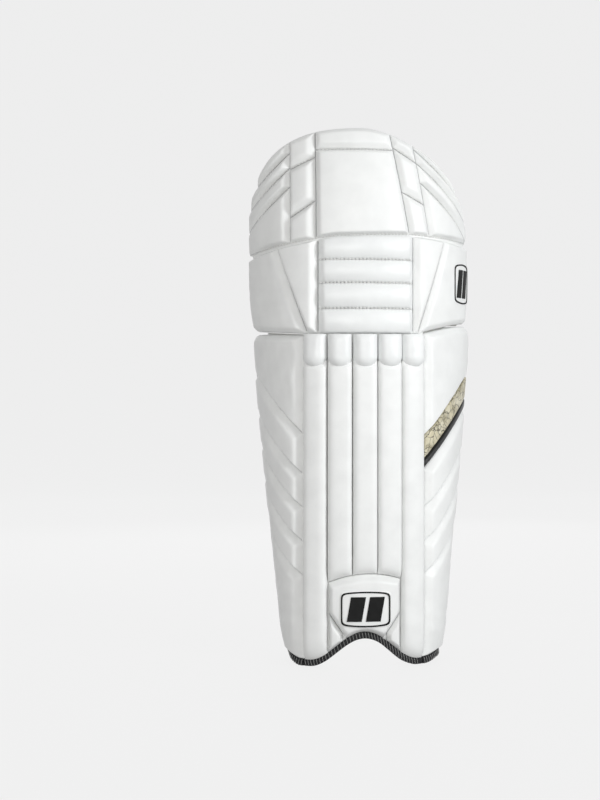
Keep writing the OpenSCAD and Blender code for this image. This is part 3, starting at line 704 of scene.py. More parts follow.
def pad_panel(shape, part, left, right, bottom, top, height, bevels, seed, lip=2.2, step=2.6, pillow=0.6,
              pucker=0.22, wave=0.22, fade=None):
    """One padded block: a short lip at the seam, bevels, and a slightly swollen flat. bevels are those at
    the left, right, bottom and top. fade(u, z) gives the share of the relief and the height that fills in."""
    u, z, near, s, t = panel_grid(moved(left, SEAM_GAP), moved(right, -SEAM_GAP), moved(bottom, SEAM_GAP),
                                  moved(top, -SEAM_GAP), step)
    closest = np.minimum.reduce(near)
    upright = np.minimum(near[0], near[1]) < np.minimum(near[2], near[3])
    run = np.where(upright, z, u)
    rise = padded_rise(near, bevels)
    d = PANEL_BASE + lip * (1 - np.exp(-closest / 0.7)) + (height - lip) * rise
    d += pillow * np.sqrt(np.clip(16 * s * (1 - s) * t * (1 - t), 0, 1)) * rise
    at_seam = np.exp(-closest / 3.2) * (1 - np.exp(-closest / 0.8))
    d += pucker * at_seam * np.sin(run * 2 * math.pi / PUCKER_PITCH + 2 * ripple(u, z, seed + 50))
    d += wave * ripple(u, z, seed) * rise
    if fade:
        share, filler = fade(u, z)
        d = share * d + (1 - share) * filler
    shape.slab(part, u, z, d, PANEL_BACK, closest)


def sewn_case(part, left, right, bottom, top, seed, outer_d=0.2, inner_d=LINING_IN, inner_slot=1, step=4.0,
              wave=0.3, round_r=2.6):
    """The cover and lining of one section, sewn round its board, with rounded edges."""
    u, z, near, *_ = panel_grid(left, right, bottom, top, step)
    closest = np.minimum.reduce(near)
    sink = round_r * np.exp(-closest / 1.3)
    swell = wave * ripple(u, z, seed) * (1 - np.exp(-closest / 12))
    shape = Shape()
    shape.slab(part, u, z, outer_d - sink, inner_d + sink + swell, None, (0, 0, inner_slot))
    return shape


STITCH_PITCH = 4.8


def stitch_row(shape, u, z, d, length=3.0, radius=0.8):
    """A row of threads over the knee or the thigh."""
    u, z, d = np.broadcast_arrays(np.asarray(u, float), np.asarray(z, float), np.asarray(d, float))
    shape.stitches(surface(UPPER, u, z, d), outward(UPPER, u, z), length * MM, STITCH_PITCH * MM, radius * MM)


# ---- Sewn cases: cover, board and lining of each section ----
CASE_EDGE, KNEE_INNER = 0.5, LINING_IN + 1.4
BEND_ROOM = 0.8


def thigh_case():
    shape = sewn_case(UPPER, level(CASE_EDGE - OVAL[LEFT][0]), level(OVAL[RIGHT][0] - CASE_EDGE),
                      moved(thigh_bottom, BEND_ROOM), moved(outline, -CASE_EDGE), 11, wave=0.9)
    shape.piece("thigh_case", [WHITE, GLOSS], "thigh", "gloss_lining", ["thigh_board", "thigh_lining"], SEWN)


def knee_case():
    shape = sewn_case(UPPER, level(CASE_EDGE - KNEE_END[LEFT]), level(KNEE_END[RIGHT] - CASE_EDGE),
                      knee_bottom, moved(knee_top, -BEND_ROOM), 12, inner_d=KNEE_INNER, wave=0.5)
    shape.piece("knee_case", [WHITE, CUSHION], "knee", "foam_board", ["knee_board"], SEWN)


def shin_case():
    shape = sewn_case(SHIN, level(1 - HINGE_U), level(HINGE_U - 1), moved(arch, FOOT_H - CASE_EDGE),
                      level(KNEE_Z - 6), 13, round_r=1.2)
    shape.piece("shin_case", [WHITE, MESH], "shin", "mesh_lining", ["shin_board", "shin_lining"], SEWN)


def wing_edges(side, start=WING_START, back=0.0):
    """The two upright edges of a wing, from left to right."""
    def rear(z):
        return side * (wing_end(z, side) - back)
    return left_to_right(side, level(side * start), rear)


def wing_case(side):
    name = NAMES[side]
    shape = sewn_case(SHIN, *wing_edges(side, back=1.5), moved(foot_rise, FOOT_H - CASE_EDGE), shin_top,
                      14 + side, wave=0.4)
    shape.piece(f"{name}_case", [WHITE, MESH], f"{name}_wing", "mesh_lining",
                [f"wing_{name}_board", f"wing_{name}_lining"], SEWN)


def wing_flap(side):
    """A soft flap inside the top of a wing, which closes the gap below the knee's rear corner."""
    def rear(z):
        return side * (wing_end(np.minimum(z, KNEE_Z - 12), side) - 5)

    def top(u):
        past_knee = np.maximum(0, np.abs(u) - KNEE_END[side] + 6)
        below = np.minimum(knee_bottom(u) - 0.4, KNEE_Z + 12)
        return np.maximum(below - 0.09 * past_knee ** 2, shin_top(u) - 4)
    left, right = left_to_right(side, level(side * (WING_START + 0.4)), rear)
    shape = sewn_case(SHIN, left, right, moved(shin_top, -14), top, 17 + side, LINING_IN - 0.6,
                      LINING_IN - 2.4, 0, 3.5, round_r=0.6)
    shape.piece(f"{NAMES[side]}_top_flap", WHITE, f"{NAMES[side]}_wing")


# ---- Thigh blocks ----
COLUMN_LEFT, COLUMN_INNER, BAR_Z = -100.0, -63.5, 670.0
BLOCK = 9.0
CENTER_RIGHT = line(58, -0.19, 565)
COLUMN_RIGHT = line(90, -0.2, 559)
LEFT_SEAMS = [line(602, 0.57, -65), line(660, 0.39, -64)]
RIGHT_SEAMS = [line(614, -0.45, 50), line(671, -0.56, 41)]
LEFT_RIBS = [line(h, 0.68, -106) for h in (664, 644, 619)]
RIGHT_RIBS = [line(h, -0.68, 76) for h in (667, 651, 629)]


def under_rim(edge=None):
    """The top of a block: its own seam, or the thigh's rim where that is lower."""
    rim = moved(outline, -1.8)
    return rim if edge is None else lambda u: np.minimum(edge(u), rim(u))


def thigh_blocks():
    shape = Shape()
    center = (UPPER, level(COLUMN_INNER), CENTER_RIGHT)
    pad_panel(shape, *center, thigh_bottom, level(BAR_Z), BLOCK + 1, (8, 9, 4, 5), 21, wave=0.3)
    shape.piece("thigh_center_block", WHITE, "thigh", stands_for=["thigh_center_panel"], fill=FIRM)
    shape = Shape()
    pad_panel(shape, *center, level(BAR_Z), under_rim(), BLOCK, (8, 9, 9, 6), 22)
    shape.piece("thigh_top_block", WHITE, "thigh", stands_for=["thigh_top_bar"], fill=FIRM)
    columns = ((level(COLUMN_LEFT), level(COLUMN_INNER), LEFT_SEAMS, "left"),
               (CENTER_RIGHT, COLUMN_RIGHT, RIGHT_SEAMS, "right"))
    for left, right, seams, name in columns:
        shape = Shape()
        for k, (low, high) in enumerate(zip([thigh_bottom, *seams], [*seams, under_rim()])):
            bevels = (6, 10, 9 if k else 4, 8)
            pad_panel(shape, UPPER, left, right, low, high, BLOCK - 0.5, bevels, 24 + 3 * k)
        shape.piece(f"thigh_{name}_blocks", WHITE, "thigh", stands_for=[f"thigh_{name}_column"], fill=FIRM)


def rib_share(u):
    return np.clip((188 - np.abs(u)) / 62, 0.25, 1)


def rib_fade(u, z):
    """The ribs' relief dies away towards the rim, where the pad stays full."""
    room = np.minimum((outline(u) - z) / 14, (by_side(u, {LEFT: 190, RIGHT: 186}) - np.abs(u)) / 9)
    return rib_share(u), 7.2 * np.sqrt(np.clip(room, 0.05, 1))


RIB_ENDS = {LEFT: (-160, -176, -183, -186), RIGHT: (148, 175, 186, 172)}


def thigh_ribs():
    shape = Shape()
    for k in range(4):
        for side, ribs, column in ((LEFT, LEFT_RIBS, level(COLUMN_LEFT)), (RIGHT, RIGHT_RIBS, COLUMN_RIGHT)):
            def low(u, k=k, ribs=ribs):
                return np.maximum(ribs[k](u), thigh_bottom(u)) if k < len(ribs) else thigh_bottom(u)

            def high(u, low=low, top=under_rim(ribs[k - 1] if k else None)):
                return np.maximum(top(u), low(u) + 0.8)
            left, right = left_to_right(side, column, level(RIB_ENDS[side][k]))
            pad_panel(shape, UPPER, left, right, low, high, BLOCK - 0.5, (7, 9, 5, 8), 31 + k + 7 * side,
                      lip=1.6, fade=rib_fade)
    shape.piece("thigh_rib_blocks", WHITE, "thigh", stands_for=["thigh_side_ribs"], fill=0.85)


def thigh_edge():
    """Dark piping round the top edge."""
    shape = Shape()
    q = np.linspace(-0.985, 0.985, 150)
    a = np.abs(q) * math.pi / 2
    half, base, power = (by_side(q, {side: OVAL[side][k] for side in NAMES}) for k in range(3))
    u = np.sign(q) * half * np.sin(a) ** (2 / power)
    z = base + (PEAK_Z - base) * np.cos(a) ** (2 / power)
    path = surface(UPPER, u * 0.985, z - 2.4, -12.6)
    shape.tube(path, 1.7 * MM, 8, (0, -1, 0.2), np.stack([u, z, 0 * u], -1) * MM)
    shape.piece("thigh_edge_piping", BRAID, "thigh", "black_vinyl", ["thigh_piping"])


# ---- Knee ----
ROLL_LEFT, ROLL_RIGHT = -61.0, 64.0
ROLL_SEAMS = (463.0, 496.0, 526.0)
ROLL = 12.0
V_LEFT = line(-75, -0.40, KNEE_Z)
V_RIGHT = line(71, 0.372, KNEE_Z)


def knee_roll(name, low, high, seed, height=ROLL):
    u, z, near, _, t = panel_grid(level(ROLL_LEFT + 0.1), level(ROLL_RIGHT - 0.1), moved(low, SEAM_GAP),
                                  moved(high, -SEAM_GAP), 2.2)
    closest = np.minimum.reduce(near)
    ends = padded_rise([near[0], near[1], near[2] + 30, near[3] + 30], (10, 10, 10, 10))
    round_over = np.clip(4 * t * (1 - t), 0, 1) ** 0.6
    d = PANEL_BASE + 2.6 * (1 - np.exp(-closest / 0.7)) + (height - 2.3) * ends * (0.30 + 0.70 * round_over)
    seam_gap = np.minimum(near[2], near[3])
    d += 0.32 * np.exp(-seam_gap / 3.5) * np.sin(u * 2 * math.pi / 4.6 + 1.5 * ripple(u, z, seed))
    d += 0.3 * ripple(u, z, seed + 1) * ends
    shape = Shape()
    shape.slab(UPPER, u, z, d, PANEL_BACK, closest)
    shape.piece(f"{name}_pad", ROLL_WHITE, "knee", stands_for=[name], fill=FIRM)


def knee_rolls():
    low, middle, high = (level(seam) for seam in ROLL_SEAMS)
    knee_roll("knee_roll_upper", high, knee_top, 41)
    knee_roll("knee_roll_middle", middle, high, 43)
    knee_roll("knee_roll_lower", low, middle, 45)
    knee_roll("knee_band", level(KNEE_Z), low, 47, ROLL - 1)


def knee_sides():
    shape = Shape()
    pad_panel(shape, UPPER, V_LEFT, level(ROLL_LEFT), knee_bottom, knee_top, BLOCK + 2.5, (6, 8, 8, 4), 51)
    pad_panel(shape, UPPER, level(ROLL_RIGHT), V_RIGHT, knee_bottom, knee_top, BLOCK, (8, 7, 8, 4), 52)
    shape.piece("knee_flank_blocks", WHITE, "knee", stands_for=["knee_flanks"], fill=FIRM)
    wings = ((LEFT, level(0.6 - KNEE_END[LEFT]), V_LEFT, 2.6, (10, 9.5, 7, 4)),
             (RIGHT, V_RIGHT, level(KNEE_END[RIGHT] - 0.6), 1.6, (7, 10, 7, 4)))
    for side, left, right, proud, bevels in wings:
        shape = Shape()
        pad_panel(shape, UPPER, left, right, knee_bottom, knee_top, COVER + proud, bevels, 53 + side,
                  step=3.0, wave=0.45)
        name = NAMES[side]
        shape.piece(f"knee_{name}_cover", WHITE, "knee", stands_for=[f"knee_wing_{name}"], fill=SEWN)


def stitching():
    """Rows of thread in the roll seams, the ribs' and blocks' seams and along the seam under the thigh."""
    shape = Shape()
    for z in ROLL_SEAMS:
        stitch_row(shape, np.linspace(ROLL_LEFT + 2, ROLL_RIGHT - 2, 60), z, 6.5, 3.1, 1.0)
    shape.piece("knee_stitching", THREAD, "knee")
    shape = Shape()
    rib_rows = ((LEFT_RIBS, COLUMN_LEFT - 3, (-146, -156, -160)), (RIGHT_RIBS, 90, (134, 150, 160)))
    for ribs, start, ends in rib_rows:
        for rib, end in zip(ribs, ends):
            u = np.linspace(start, end, 50)
            stitch_row(shape, u, rib(u), 5.4 - 3.0 * rib_share(u))
    rows = [(seam, -97, -66) for seam in LEFT_SEAMS]
    rows += [(RIGHT_SEAMS[0], 53, 80), (RIGHT_SEAMS[1], 42, 68), (level(BAR_Z), -60, 37)]
    for seam, start, end in rows:
        u = np.linspace(start, end, 40)
        stitch_row(shape, u, seam(u), 3.3)
    u = np.linspace(-158, 168, 110)
    stitch_row(shape, u, thigh_bottom(u) + 0.4, 3.3)
    shape.piece("thigh_stitching", THREAD, "thigh")


# ---- Shin ----
CHANNEL_PITCH = 31.5
CHANNEL_TOP, CAP_R, CAP_RISE = 386.0, 14.6, 15.2
CHANNEL_T = 14.0


def instep_top(u):
    return 121 - 0.0042 * (np.asarray(u, float) - 5) ** 2


def channels():
    """Padded ribs over the cane rods, each tucked under its cap and into the binding or the instep panel."""
    half = CHANNEL_PITCH / 2 - 0.06
    for k in range(1, 6):
        mid = (k - 3) * CHANNEL_PITCH
        outer_one = k in (1, 5)
        low = moved(arch, FOOT_H) if outer_one else moved(instep_top, 0.4)
        u, z, near, s, _ = panel_grid(level(mid - half), level(mid + half), low, level(CHANNEL_TOP + 10), 2.6)
        profile = np.clip(1 - np.abs(2 * s - 1) ** 4.2, 0, 1) ** 0.55
        taper = 1 - 0.72 * np.exp(-near[2] / (8 if outer_one else 4.5))
        side_gap = np.minimum(near[0], near[1])
        d = 0.4 + (5.0 * (1 - np.exp(-side_gap / 0.5)) + (CHANNEL_T - 5.6) * profile) * taper
        d -= 4.5 * profile / (1 + np.exp((CHANNEL_TOP + 4 - z) / 1.2))
        d += 0.25 * ripple(u, z, 60 + k, long=90, short=24) * profile
        d += 0.16 * np.exp(-side_gap / 3) * np.sin(z * 2 * math.pi / 6.1 + 2 * ripple(u, z, 70 + k))
        shape = Shape()
        # The seam distance is set 0.6 mm out so the painted seam shade stays faint on the channels.
        shape.slab(SHIN, u, z, d, PANEL_BACK, np.minimum(side_gap, near[2]) + 0.6)
        shape.piece(f"cane_channel_{k}_pad", WHITE, "shin", stands_for=[f"cane_channel_{k}"], fill=FIRM)


def caps():
    """Round-ended caps over the tops of the channels."""
    shape = Shape()
    centre_z = CHANNEL_TOP + 1 + CAP_R
    top = KNEE_Z - 1 - centre_z
    r = CAP_R + 0.9
    quarter = np.linspace(0, math.pi / 2, 25)
    rise = np.concatenate([-np.cos(quarter) * r, np.linspace(0, top, 14)[1:]])
    half = np.concatenate([np.maximum(np.sin(quarter), 0.03), np.ones(13)])[:, None] * r
    share, height = np.meshgrid(np.sin(np.linspace(-math.pi / 2, math.pi / 2, 35)), rise)
    across = half * share * (1 - 0.04 * np.maximum(0, height / top) ** 2)
    z = centre_z + height
    out = np.sqrt(across ** 2 + np.minimum(0, height) ** 2) / r
    plump = np.clip(1 - out ** 2.7, 0, 1) ** 0.5
    dome = CAP_RISE * plump * (1 - 0.22 * np.exp(-(top - height) / 3))
    for k in range(1, 6):
        u = (k - 3) * CHANNEL_PITCH + across
        d = 3.5 + dome + 0.22 * ripple(u, z, 80 + k, long=30, short=9) * plump
        shape.slab(SHIN, u, z, d, 0.6, 12 * (1 - out) + 0.3)
    shape.piece("cane_cap_pads", ROLL_WHITE, "shin", stands_for=["cane_caps"], fill=1.0)


PANEL_HALF, WEDGE_U = 46.4, 24.0


def wedge_line(u):
    return 38 + (np.abs(u) - WEDGE_U) * 1.44


def instep():
    def low(u):
        return np.maximum(arch(u) + FOOT_H, wedge_line(u))
    shape = Shape()
    pad_panel(shape, SHIN, level(-PANEL_HALF), level(PANEL_HALF), low, instep_top, CHANNEL_T - 2.2,
              (6, 7, 6, 9), 91, lip=3.0, step=2.2, pillow=1.2)
    shape.piece("instep_pad", WHITE, "shin", stands_for=["instep_panel"], fill=FIRM)
    shape = Shape()
    for side in NAMES:
        left, right = left_to_right(side, level(side * (WEDGE_U + 4)), level(side * PANEL_HALF))
        pad_panel(shape, SHIN, left, right, moved(arch, FOOT_H), wedge_line, CHANNEL_T - 4.5, (5, 5, 4, 5),
                  93 + side, step=2.0)
    shape.piece("instep_wedge_pads", WHITE, "shin", stands_for=["instep_wedges"], fill=FIRM)


# ---- Wings: fins, flashes and plain panels ----
FIN_RISE, FIN_RUN = 80.0, 130.0
FINS = {LEFT: (118, 162, 206, 250, 302), RIGHT: (118, 160, 205, 256)}
FLASH_LOW, FLASH_HIGH = 268, 298


def fin_line(foot):
    def height(u):
        share = np.clip((np.abs(u) - WING_START) / FIN_RUN, 0, 1)
        return foot + FIN_RISE * np.sin(math.pi / 2 * share)
    return height


def rear_fade(u, z):
    """Fins are fullest at the hinge."""
    share = 1 - 0.34 * np.clip((np.abs(u) - WING_START - 4) / 70, 0, 1)
    return share * (0.6 + 0.4 * np.clip((z - FOOT_H) / 34, 0, 1)), 0.3


def wing_panel(shape, side, low, high, height, bevels, seed, wave=0.3, fade=None):
    """bevels are those at the hinge, the rear edge, the bottom and the top."""
    left, right = wing_edges(side, start=WING_START - 1.2, back=REAR_LIP - 1.2)
    order = (*left_to_right(side, *bevels[:2]), *bevels[2:])
    pad_panel(shape, SHIN, left, right, low, high, height, order, seed, lip=1.4, step=2.8, pillow=0.5,
              pucker=0.16, wave=wave, fade=fade)


def wing_covers(side):
    name = NAMES[side]
    body = f"{name}_wing"
    fins = FINS[side]
    shape = Shape()
    for k, (low, high) in enumerate(zip(fins, fins[1:])):
        wing_panel(shape, side, fin_line(low), fin_line(high), COVER + 4.6, (10.5, 6, 2.6, 12), 100 + k,
                   fade=rear_fade)
    shape.piece(f"{name}_fin_pads", WHITE, body, stands_for=[f"wing_{name}_fins"], fill=0.85)
    shape = Shape()
    above = fin_line(fins[-1] if side == LEFT else FLASH_HIGH)
    plain = ((moved(foot_rise, FOOT_H + 0.3), fin_line(fins[0]), (12, 6, 4, 13), 110 + side),
             (above, shin_top, (12, 6, 2.8, 9), 113 + side))
    for low, high, bevels, seed in plain:
        wing_panel(shape, side, low, high, COVER + 2.5, bevels, seed, 0.6, rear_fade)
    shape.piece(f"{name}_plain_pads", WHITE, body, stands_for=[f"wing_{name}_panels"], fill=SEWN)


def flashes():
    rows = (("gold", FLASH_LOW, FLASH_HIGH, COVER - 0.6, (3, 3, 2, 2), 121, 0.15, PALE_GOLD, "gold_foil"),
            ("black", FINS[RIGHT][-1], FLASH_LOW, COVER - 0.4, (2, 2, 2, 2), 122, 0.1, BLACK, "black_vinyl"))
    for name, low, high, height, bevels, seed, wave, look, slot in rows:
        shape = Shape()
        wing_panel(shape, RIGHT, fin_line(low), fin_line(high), height, bevels, seed, wave)
        shape.piece(f"{name}_flash_panel", look, "right_wing", slot, [f"{name}_flash"], 0.5)


# ---- Inside: bolsters, cushion, strip and edge rolls ----
CLOTH_FRAMES, CLOTH_CAP, CLOTH_PRESSURE = 20, 0.006, 4.0


def cloth_ready(name, part, left, right, bottom, top, base, depth, edge):
    """A slightly lean pad on the inside, an even grid that cloth can inflate, with its back pinned."""
    u, z, near, *_ = panel_grid(left, right, bottom, top, 5.0, even)
    rise = np.sin(np.clip(np.minimum.reduce(near) / edge, 0, 1) * math.pi / 2)
    shape = Shape()
    shape.slab(part, u, z, base - 3 - (depth - 3) * rise, base)
    piece = shape.make(f"{name}_pad", CUSHION)
    group = piece.vertex_groups.new(name="pin")
    group.add(list(range(u.size, len(piece.data.vertices))), 1.0, "REPLACE")
    return piece


def inflate(pieces):
    """Runs one cloth simulation over the pieces, caps how far each point moves, and keeps the result."""
    scene = bpy.context.scene
    rest = {}
    for piece in pieces:
        rest[piece.name] = np.array([v.co for v in piece.data.vertices])
        cloth = piece.modifiers.new("cloth", "CLOTH")
        settings = cloth.settings
        settings.use_pressure = True
        settings.uniform_pressure_force = CLOTH_PRESSURE
        settings.effector_weights.gravity = 0
        settings.quality = 5
        settings.tension_stiffness = settings.compression_stiffness = 25
        settings.bending_stiffness = 1.5
        settings.vertex_group_mass = "pin"
        cloth.point_cache.frame_start, cloth.point_cache.frame_end = 1, CLOTH_FRAMES
    for number in range(1, CLOTH_FRAMES + 1):
        scene.frame_set(number)
    graph = bpy.context.evaluated_depsgraph_get()
    for piece in pieces:
        before = rest[piece.name]
        shift = np.array([v.co for v in piece.evaluated_get(graph).data.vertices]) - before
        size = np.linalg.norm(shift, axis=1)[:, None] + 1e-12
        shift *= np.minimum(1, CLOTH_CAP / size)
        piece.modifiers.clear()
        piece.data.vertices.foreach_set("co", (before + shift).astype(np.float32).ravel())
        piece.data.update()
    scene.frame_set(1)


BOLSTER_BOTTOM, BOLSTER_T, CUSHION_T = 124.0, 20.0, 17.0
STRIP_D = -18.5


def inner_pads():
    rows = []
    for side in NAMES:
        node = f"bolster_{NAMES[side]}"
        outer = line(side * 97, side * 19 / 302, BOLSTER_BOTTOM)
        left, right = left_to_right(side, level(side * 13.5), outer)
        piece = cloth_ready(node, SHIN, left, right, level(BOLSTER_BOTTOM), level(KNEE_Z - 6), PAD_D + 0.6,
                            BOLSTER_T - 2.5, 15)
        rows.append((piece, "shin", node))
    piece = cloth_ready("knee_cushion", UPPER, level(-150), level(150), level(KNEE_Z + 17),
                        moved(knee_top, -1.2), KNEE_INNER, CUSHION_T - 2.5, 17)
    rows.append((piece, "knee", "knee_cushion"))
    inflate([row[0] for row in rows])
    for piece, body, node in rows:
        smooth = piece.modifiers.new("smooth", "SUBSURF")
        smooth.levels = smooth.render_levels = 1
        finish_piece(piece, body, "cushion_fabric", [node])


def center_strip():
    """The strip between the bolsters, with a column of slanted bars between two straight ones."""
    shape = Shape()
    top = KNEE_Z - 8
    u, z = np.meshgrid(np.linspace(-12.2, 12.2, 9), np.linspace(BOLSTER_BOTTOM + 1, top, 90))
    shape.slab(SHIN, u, z, STRIP_D - 0.35 * ripple(u, z, 131), PAD_D + 0.5)
    shape.piece("shin_center_tape", CUSHION, "shin", "cushion_fabric", ["shin_center_strip"], 0.5)
    shape = Shape()
    bar_back = STRIP_D - 0.1
    for low in np.arange(BOLSTER_BOTTOM + 26, top - 34, 21):
        u, rise = np.meshgrid(np.linspace(-9.5, 9.5, 9), np.linspace(0, 10, 5))
        shape.slab(SHIN, u, low + rise + 0.35 * u, bar_back - 1.0, bar_back)
    for low in (BOLSTER_BOTTOM + 14, top - 14):
        u, rise = np.meshgrid(np.linspace(-10, 10, 9), np.linspace(0, 1.6, 3))
        shape.slab(SHIN, u, low + rise, bar_back - 0.9, bar_back)
    shape.piece("shin_center_bars", INK, "shin", "badge")


# The roll's closed outline: the distance in from the rear edge, and d.
ROLL_OUTLINE = np.array([(9.5, 3.2), (6, 4.7), (2.5, 4.9), (-0.2, 3.6), (-1.2, 0), (-1.2, -8), (0, -16),
                         (3.5, -21.5), (10, -24.4), (20, -25.2), (30, -23.6), (37, -19.5), (40.5, -15),
                         (40, -13.4), (20, -13.2), (9.8, -13.2), (9.6, -5)])


def edge_roll(side):
    """A padded roll inside a wing's rear edge whose cover wraps over the edge to the outside."""
    closed = np.vstack([ROLL_OUTLINE, ROLL_OUTLINE[:1]])
    run = run_along(closed)
    count = 64
    at = np.linspace(0, run[-1], count, endpoint=False)
    ring = np.stack([np.interp(at, run, closed[:, k]) for k in range(2)])
    for _ in range(3):
        ring = (np.roll(ring, 1, 1) + 2 * ring + np.roll(ring, -1, 1)) / 4
    z = np.linspace(BIND_TOP + 1, float(shin_top(side * 190)) - 8, 110)
    W, Z = np.meshgrid(ring[0], z)
    D = np.meshgrid(ring[1], z)[0]
    ends = np.minimum(Z - z[0], z[-1] - Z)
    taper = 1 - 0.5 * np.exp(-ends / 5)
    fold = 0.9 * np.sin(Z / 6.5 + 1.7 * np.sin(Z / 31) + 0.12 * W) * np.clip((-D - 9) / 10, 0, 1)
    D = np.where(D < -9, -9 + (D + 9) * taper, D) - 0.6 * fold * taper
    D = np.where(D > 0, D * (1 - 0.75 * np.exp(-ends / 7)), D)
    W = W + 0.25 * ripple(W, Z, 140 + side, long=90, short=30)
    shape = Shape()
    shape.add(surface(SHIN, side * (wing_end(Z, side) - W), Z, D), ring_faces(len(z), count), 0,
              np.stack([W, Z, 0 * W], -1) * MM)
    name = NAMES[side]
    shape.piece(f"{name}_edge_roll", GLOSS, f"{name}_wing", stands_for=[f"wing_{name}_edge_roll"], fill=SEWN)


# ---- Thigh lining: gold panel and badge ----
GOLD_BEND, GOLD_BEND_Z = -66.0, 613.0


def gold_edge(u):
    u = np.asarray(u, float)
    return GOLD_BEND_Z + np.where(u < GOLD_BEND, 1.34, 0.47) * (GOLD_BEND - u)


def gold_panel():
    def top(u):
        return np.maximum(np.minimum(gold_edge(u), outline(u) - 5), thigh_bottom(u) + 4)
    shape = Shape()
    u, z, near, *_ = panel_grid(level(4.5 - OVAL[LEFT][0]), level(34), moved(thigh_bottom, 3), top, 3.5)
    d = PAD_D - 0.5 * (1 - np.exp(-np.minimum.reduce(near) / 1.5)) - 0.25 * ripple(u, z, 150)
    shape.slab(UPPER, u, z, d, -12.2)
    shape.piece("thigh_gold_lining", GOLD, "thigh", "gold_foil", ["thigh_gold_panel"], 0.3)
    u, across = np.meshgrid(np.linspace(-136, 40, 110), np.linspace(0, 1, 6))
    crown = 0.9 * np.abs(2 * across - 1) ** 3
    stripes = (("thigh_gold_line", -0.4, 2.2, -15.2, BLACK, "black_vinyl"),
               ("thigh_pale_stripe", 2.4, 10.5, -15.0, WHITE, "white_leather"))
    for name, low, high, depth, look, slot in stripes:
        z = np.minimum(gold_edge(u) + low + (high - low) * across, outline(u) - 4)
        shape = Shape()
        shape.slab(UPPER, u, z, depth + crown, -12.4)
        shape.piece(name, look, "thigh", slot)


# ---- Badges: a barrel-shaped outline round plain slanted bars ----
RING = 1.8
BAR_COUNT = 2


def badge_outline(half_w, half_h, bulge):
    """Points round a rectangle with rounded corners and bowed top and bottom."""
    count, corner = 121, 0.19
    a = np.linspace(0, 2 * math.pi, 6001)
    x = half_w * np.sign(np.cos(a)) * np.abs(np.cos(a)) ** corner
    y = half_h * np.sign(np.sin(a)) * np.abs(np.sin(a)) ** corner
    run = run_along(np.stack([x, y], -1))
    even_run = np.linspace(0, run[-1], count)
    x, y = np.interp(even_run, run, x), np.interp(even_run, run, y)
    return x, y + bulge * np.sign(y) * (1 - (x / half_w) ** 2) * (np.abs(y) / half_h)


def badge_art(shape, place, half_w, half_h, bulge, base, top, inset):
    """place(x, y, d) maps millimetres on the badge to points. base and top are the print's two heights."""
    outer_x, outer_y = badge_outline(half_w - inset, half_h - inset, bulge)
    inner_x, inner_y = badge_outline(half_w - inset - RING, half_h - inset - RING, bulge)
    share = np.linspace(0, 1, 3)[:, None]
    x = outer_x * (1 - share) + inner_x * share
    y = outer_y * (1 - share) + inner_y * share
    shape.shell(place(x, y, top), place(x, y, base), np.stack([x, y, 0 * x], -1) * MM)
    room_w, room_h = half_w - inset - RING - 2.6, half_h - inset - RING - 3.0
    bar = 2 * room_w / (BAR_COUNT * 1.42)
    middles = [(k - (BAR_COUNT - 1) / 2) * bar * 1.27 for k in range(BAR_COUNT)]
    slanted_bars(shape, place, middles, bar, 0.16 * room_h, room_h, base, top, 7)


def slanted_bars(shape, place, middles, wide, slant, half_h, base, top, columns):
    s, t = np.meshgrid(np.linspace(-0.5, 0.5, columns), np.linspace(-1, 1, 9))
    for middle in middles:
        x = middle + s * wide + slant * t
        shape.shell(place(x, t * half_h, top), place(x, t * half_h, base), np.stack([x, t, 0 * t], -1) * MM)


def badge_plate(shape, place, half_w, half_h, bulge, low, high):
    """A rounded plate: rings that shrink to the middle."""
    x, y = badge_outline(half_w, half_h, bulge)
    share = np.array([1, 0.985, 0.95, 0.9, 0.8, 0.7, 0.6, 0.5, 0.4, 0.3, 0.2, 0.1, 0.02])[:, None]
    rise = np.array([0, 0.55, 0.8, 0.9, 0.94, 0.96, 0.98, 0.99, 1, 1, 1, 1, 1])[:, None]
    X, Y = x * share, y * share
    seam = np.broadcast_to((1 - share) * 22 + 0.6, X.shape)
    pad = np.stack([X, Y, 0 * X], -1) * MM
    shape.shell(place(X, Y, low + (high - low) * rise), place(X, Y, low), pad, seam)


def badge(names, body, node, place, size, plate, ink, fill=None, inset=2.4):
    """A pale plate and its print. plate and ink are each a lower and an upper height."""
    shape = Shape()
    badge_plate(shape, place, *size, *plate)
    shape.piece(names[0], WHITE, body, "badge", [node], fill)
    shape = Shape()
    badge_art(shape, place, *size, *ink, inset)
    shape.piece(names[1], INK, body, "badge")


INSTEP_BADGE_Z, SIDE_BADGE_Z = 76.5, 500.0
SIDE_BADGE_U = (131.0, KNEE_END[RIGHT] - 10)
THIGH_BADGE_U, THIGH_BADGE_Z = 19.0, 655.0


def badges():
    def instep_place(x, y, d):
        return surface(SHIN, x, INSTEP_BADGE_Z + y, CHANNEL_T + d)

    def side_place(x, y, d):
        return surface(UPPER, sum(SIDE_BADGE_U) / 2 + x, SIDE_BADGE_Z + y, COVER + d)

    def thigh_place(x, y, d):
        return surface(UPPER, THIGH_BADGE_U - x, THIGH_BADGE_Z + y, -d)
    badge(("instep_badge_plate", "instep_badge_print"), "shin", "instep_badge", instep_place, (32, 23, 2.2),
          (-2.6, -0.2), (-0.6, 0.5))
    badge(("knee_side_badge_plate", "knee_side_badge_print"), "knee", "knee_side_badge", side_place,
          ((SIDE_BADGE_U[1] - SIDE_BADGE_U[0]) / 2, 26, 3.0), (1.0, 3.0), (2.4, 3.6))
    shape = Shape()
    badge_plate(shape, thigh_place, 59, 25.5, 0.5, 12.4, 14.4)
    shape.piece("thigh_badge_plate", GLOSS, "thigh", "badge", ["thigh_badge"])
    shape = Shape()
    slanted_bars(shape, thigh_place, (-35, 0, 35), 25, 6, 21.5, 14.0, 15.4, 9)
    shape.piece("thigh_badge_print", INK, "thigh", "badge")


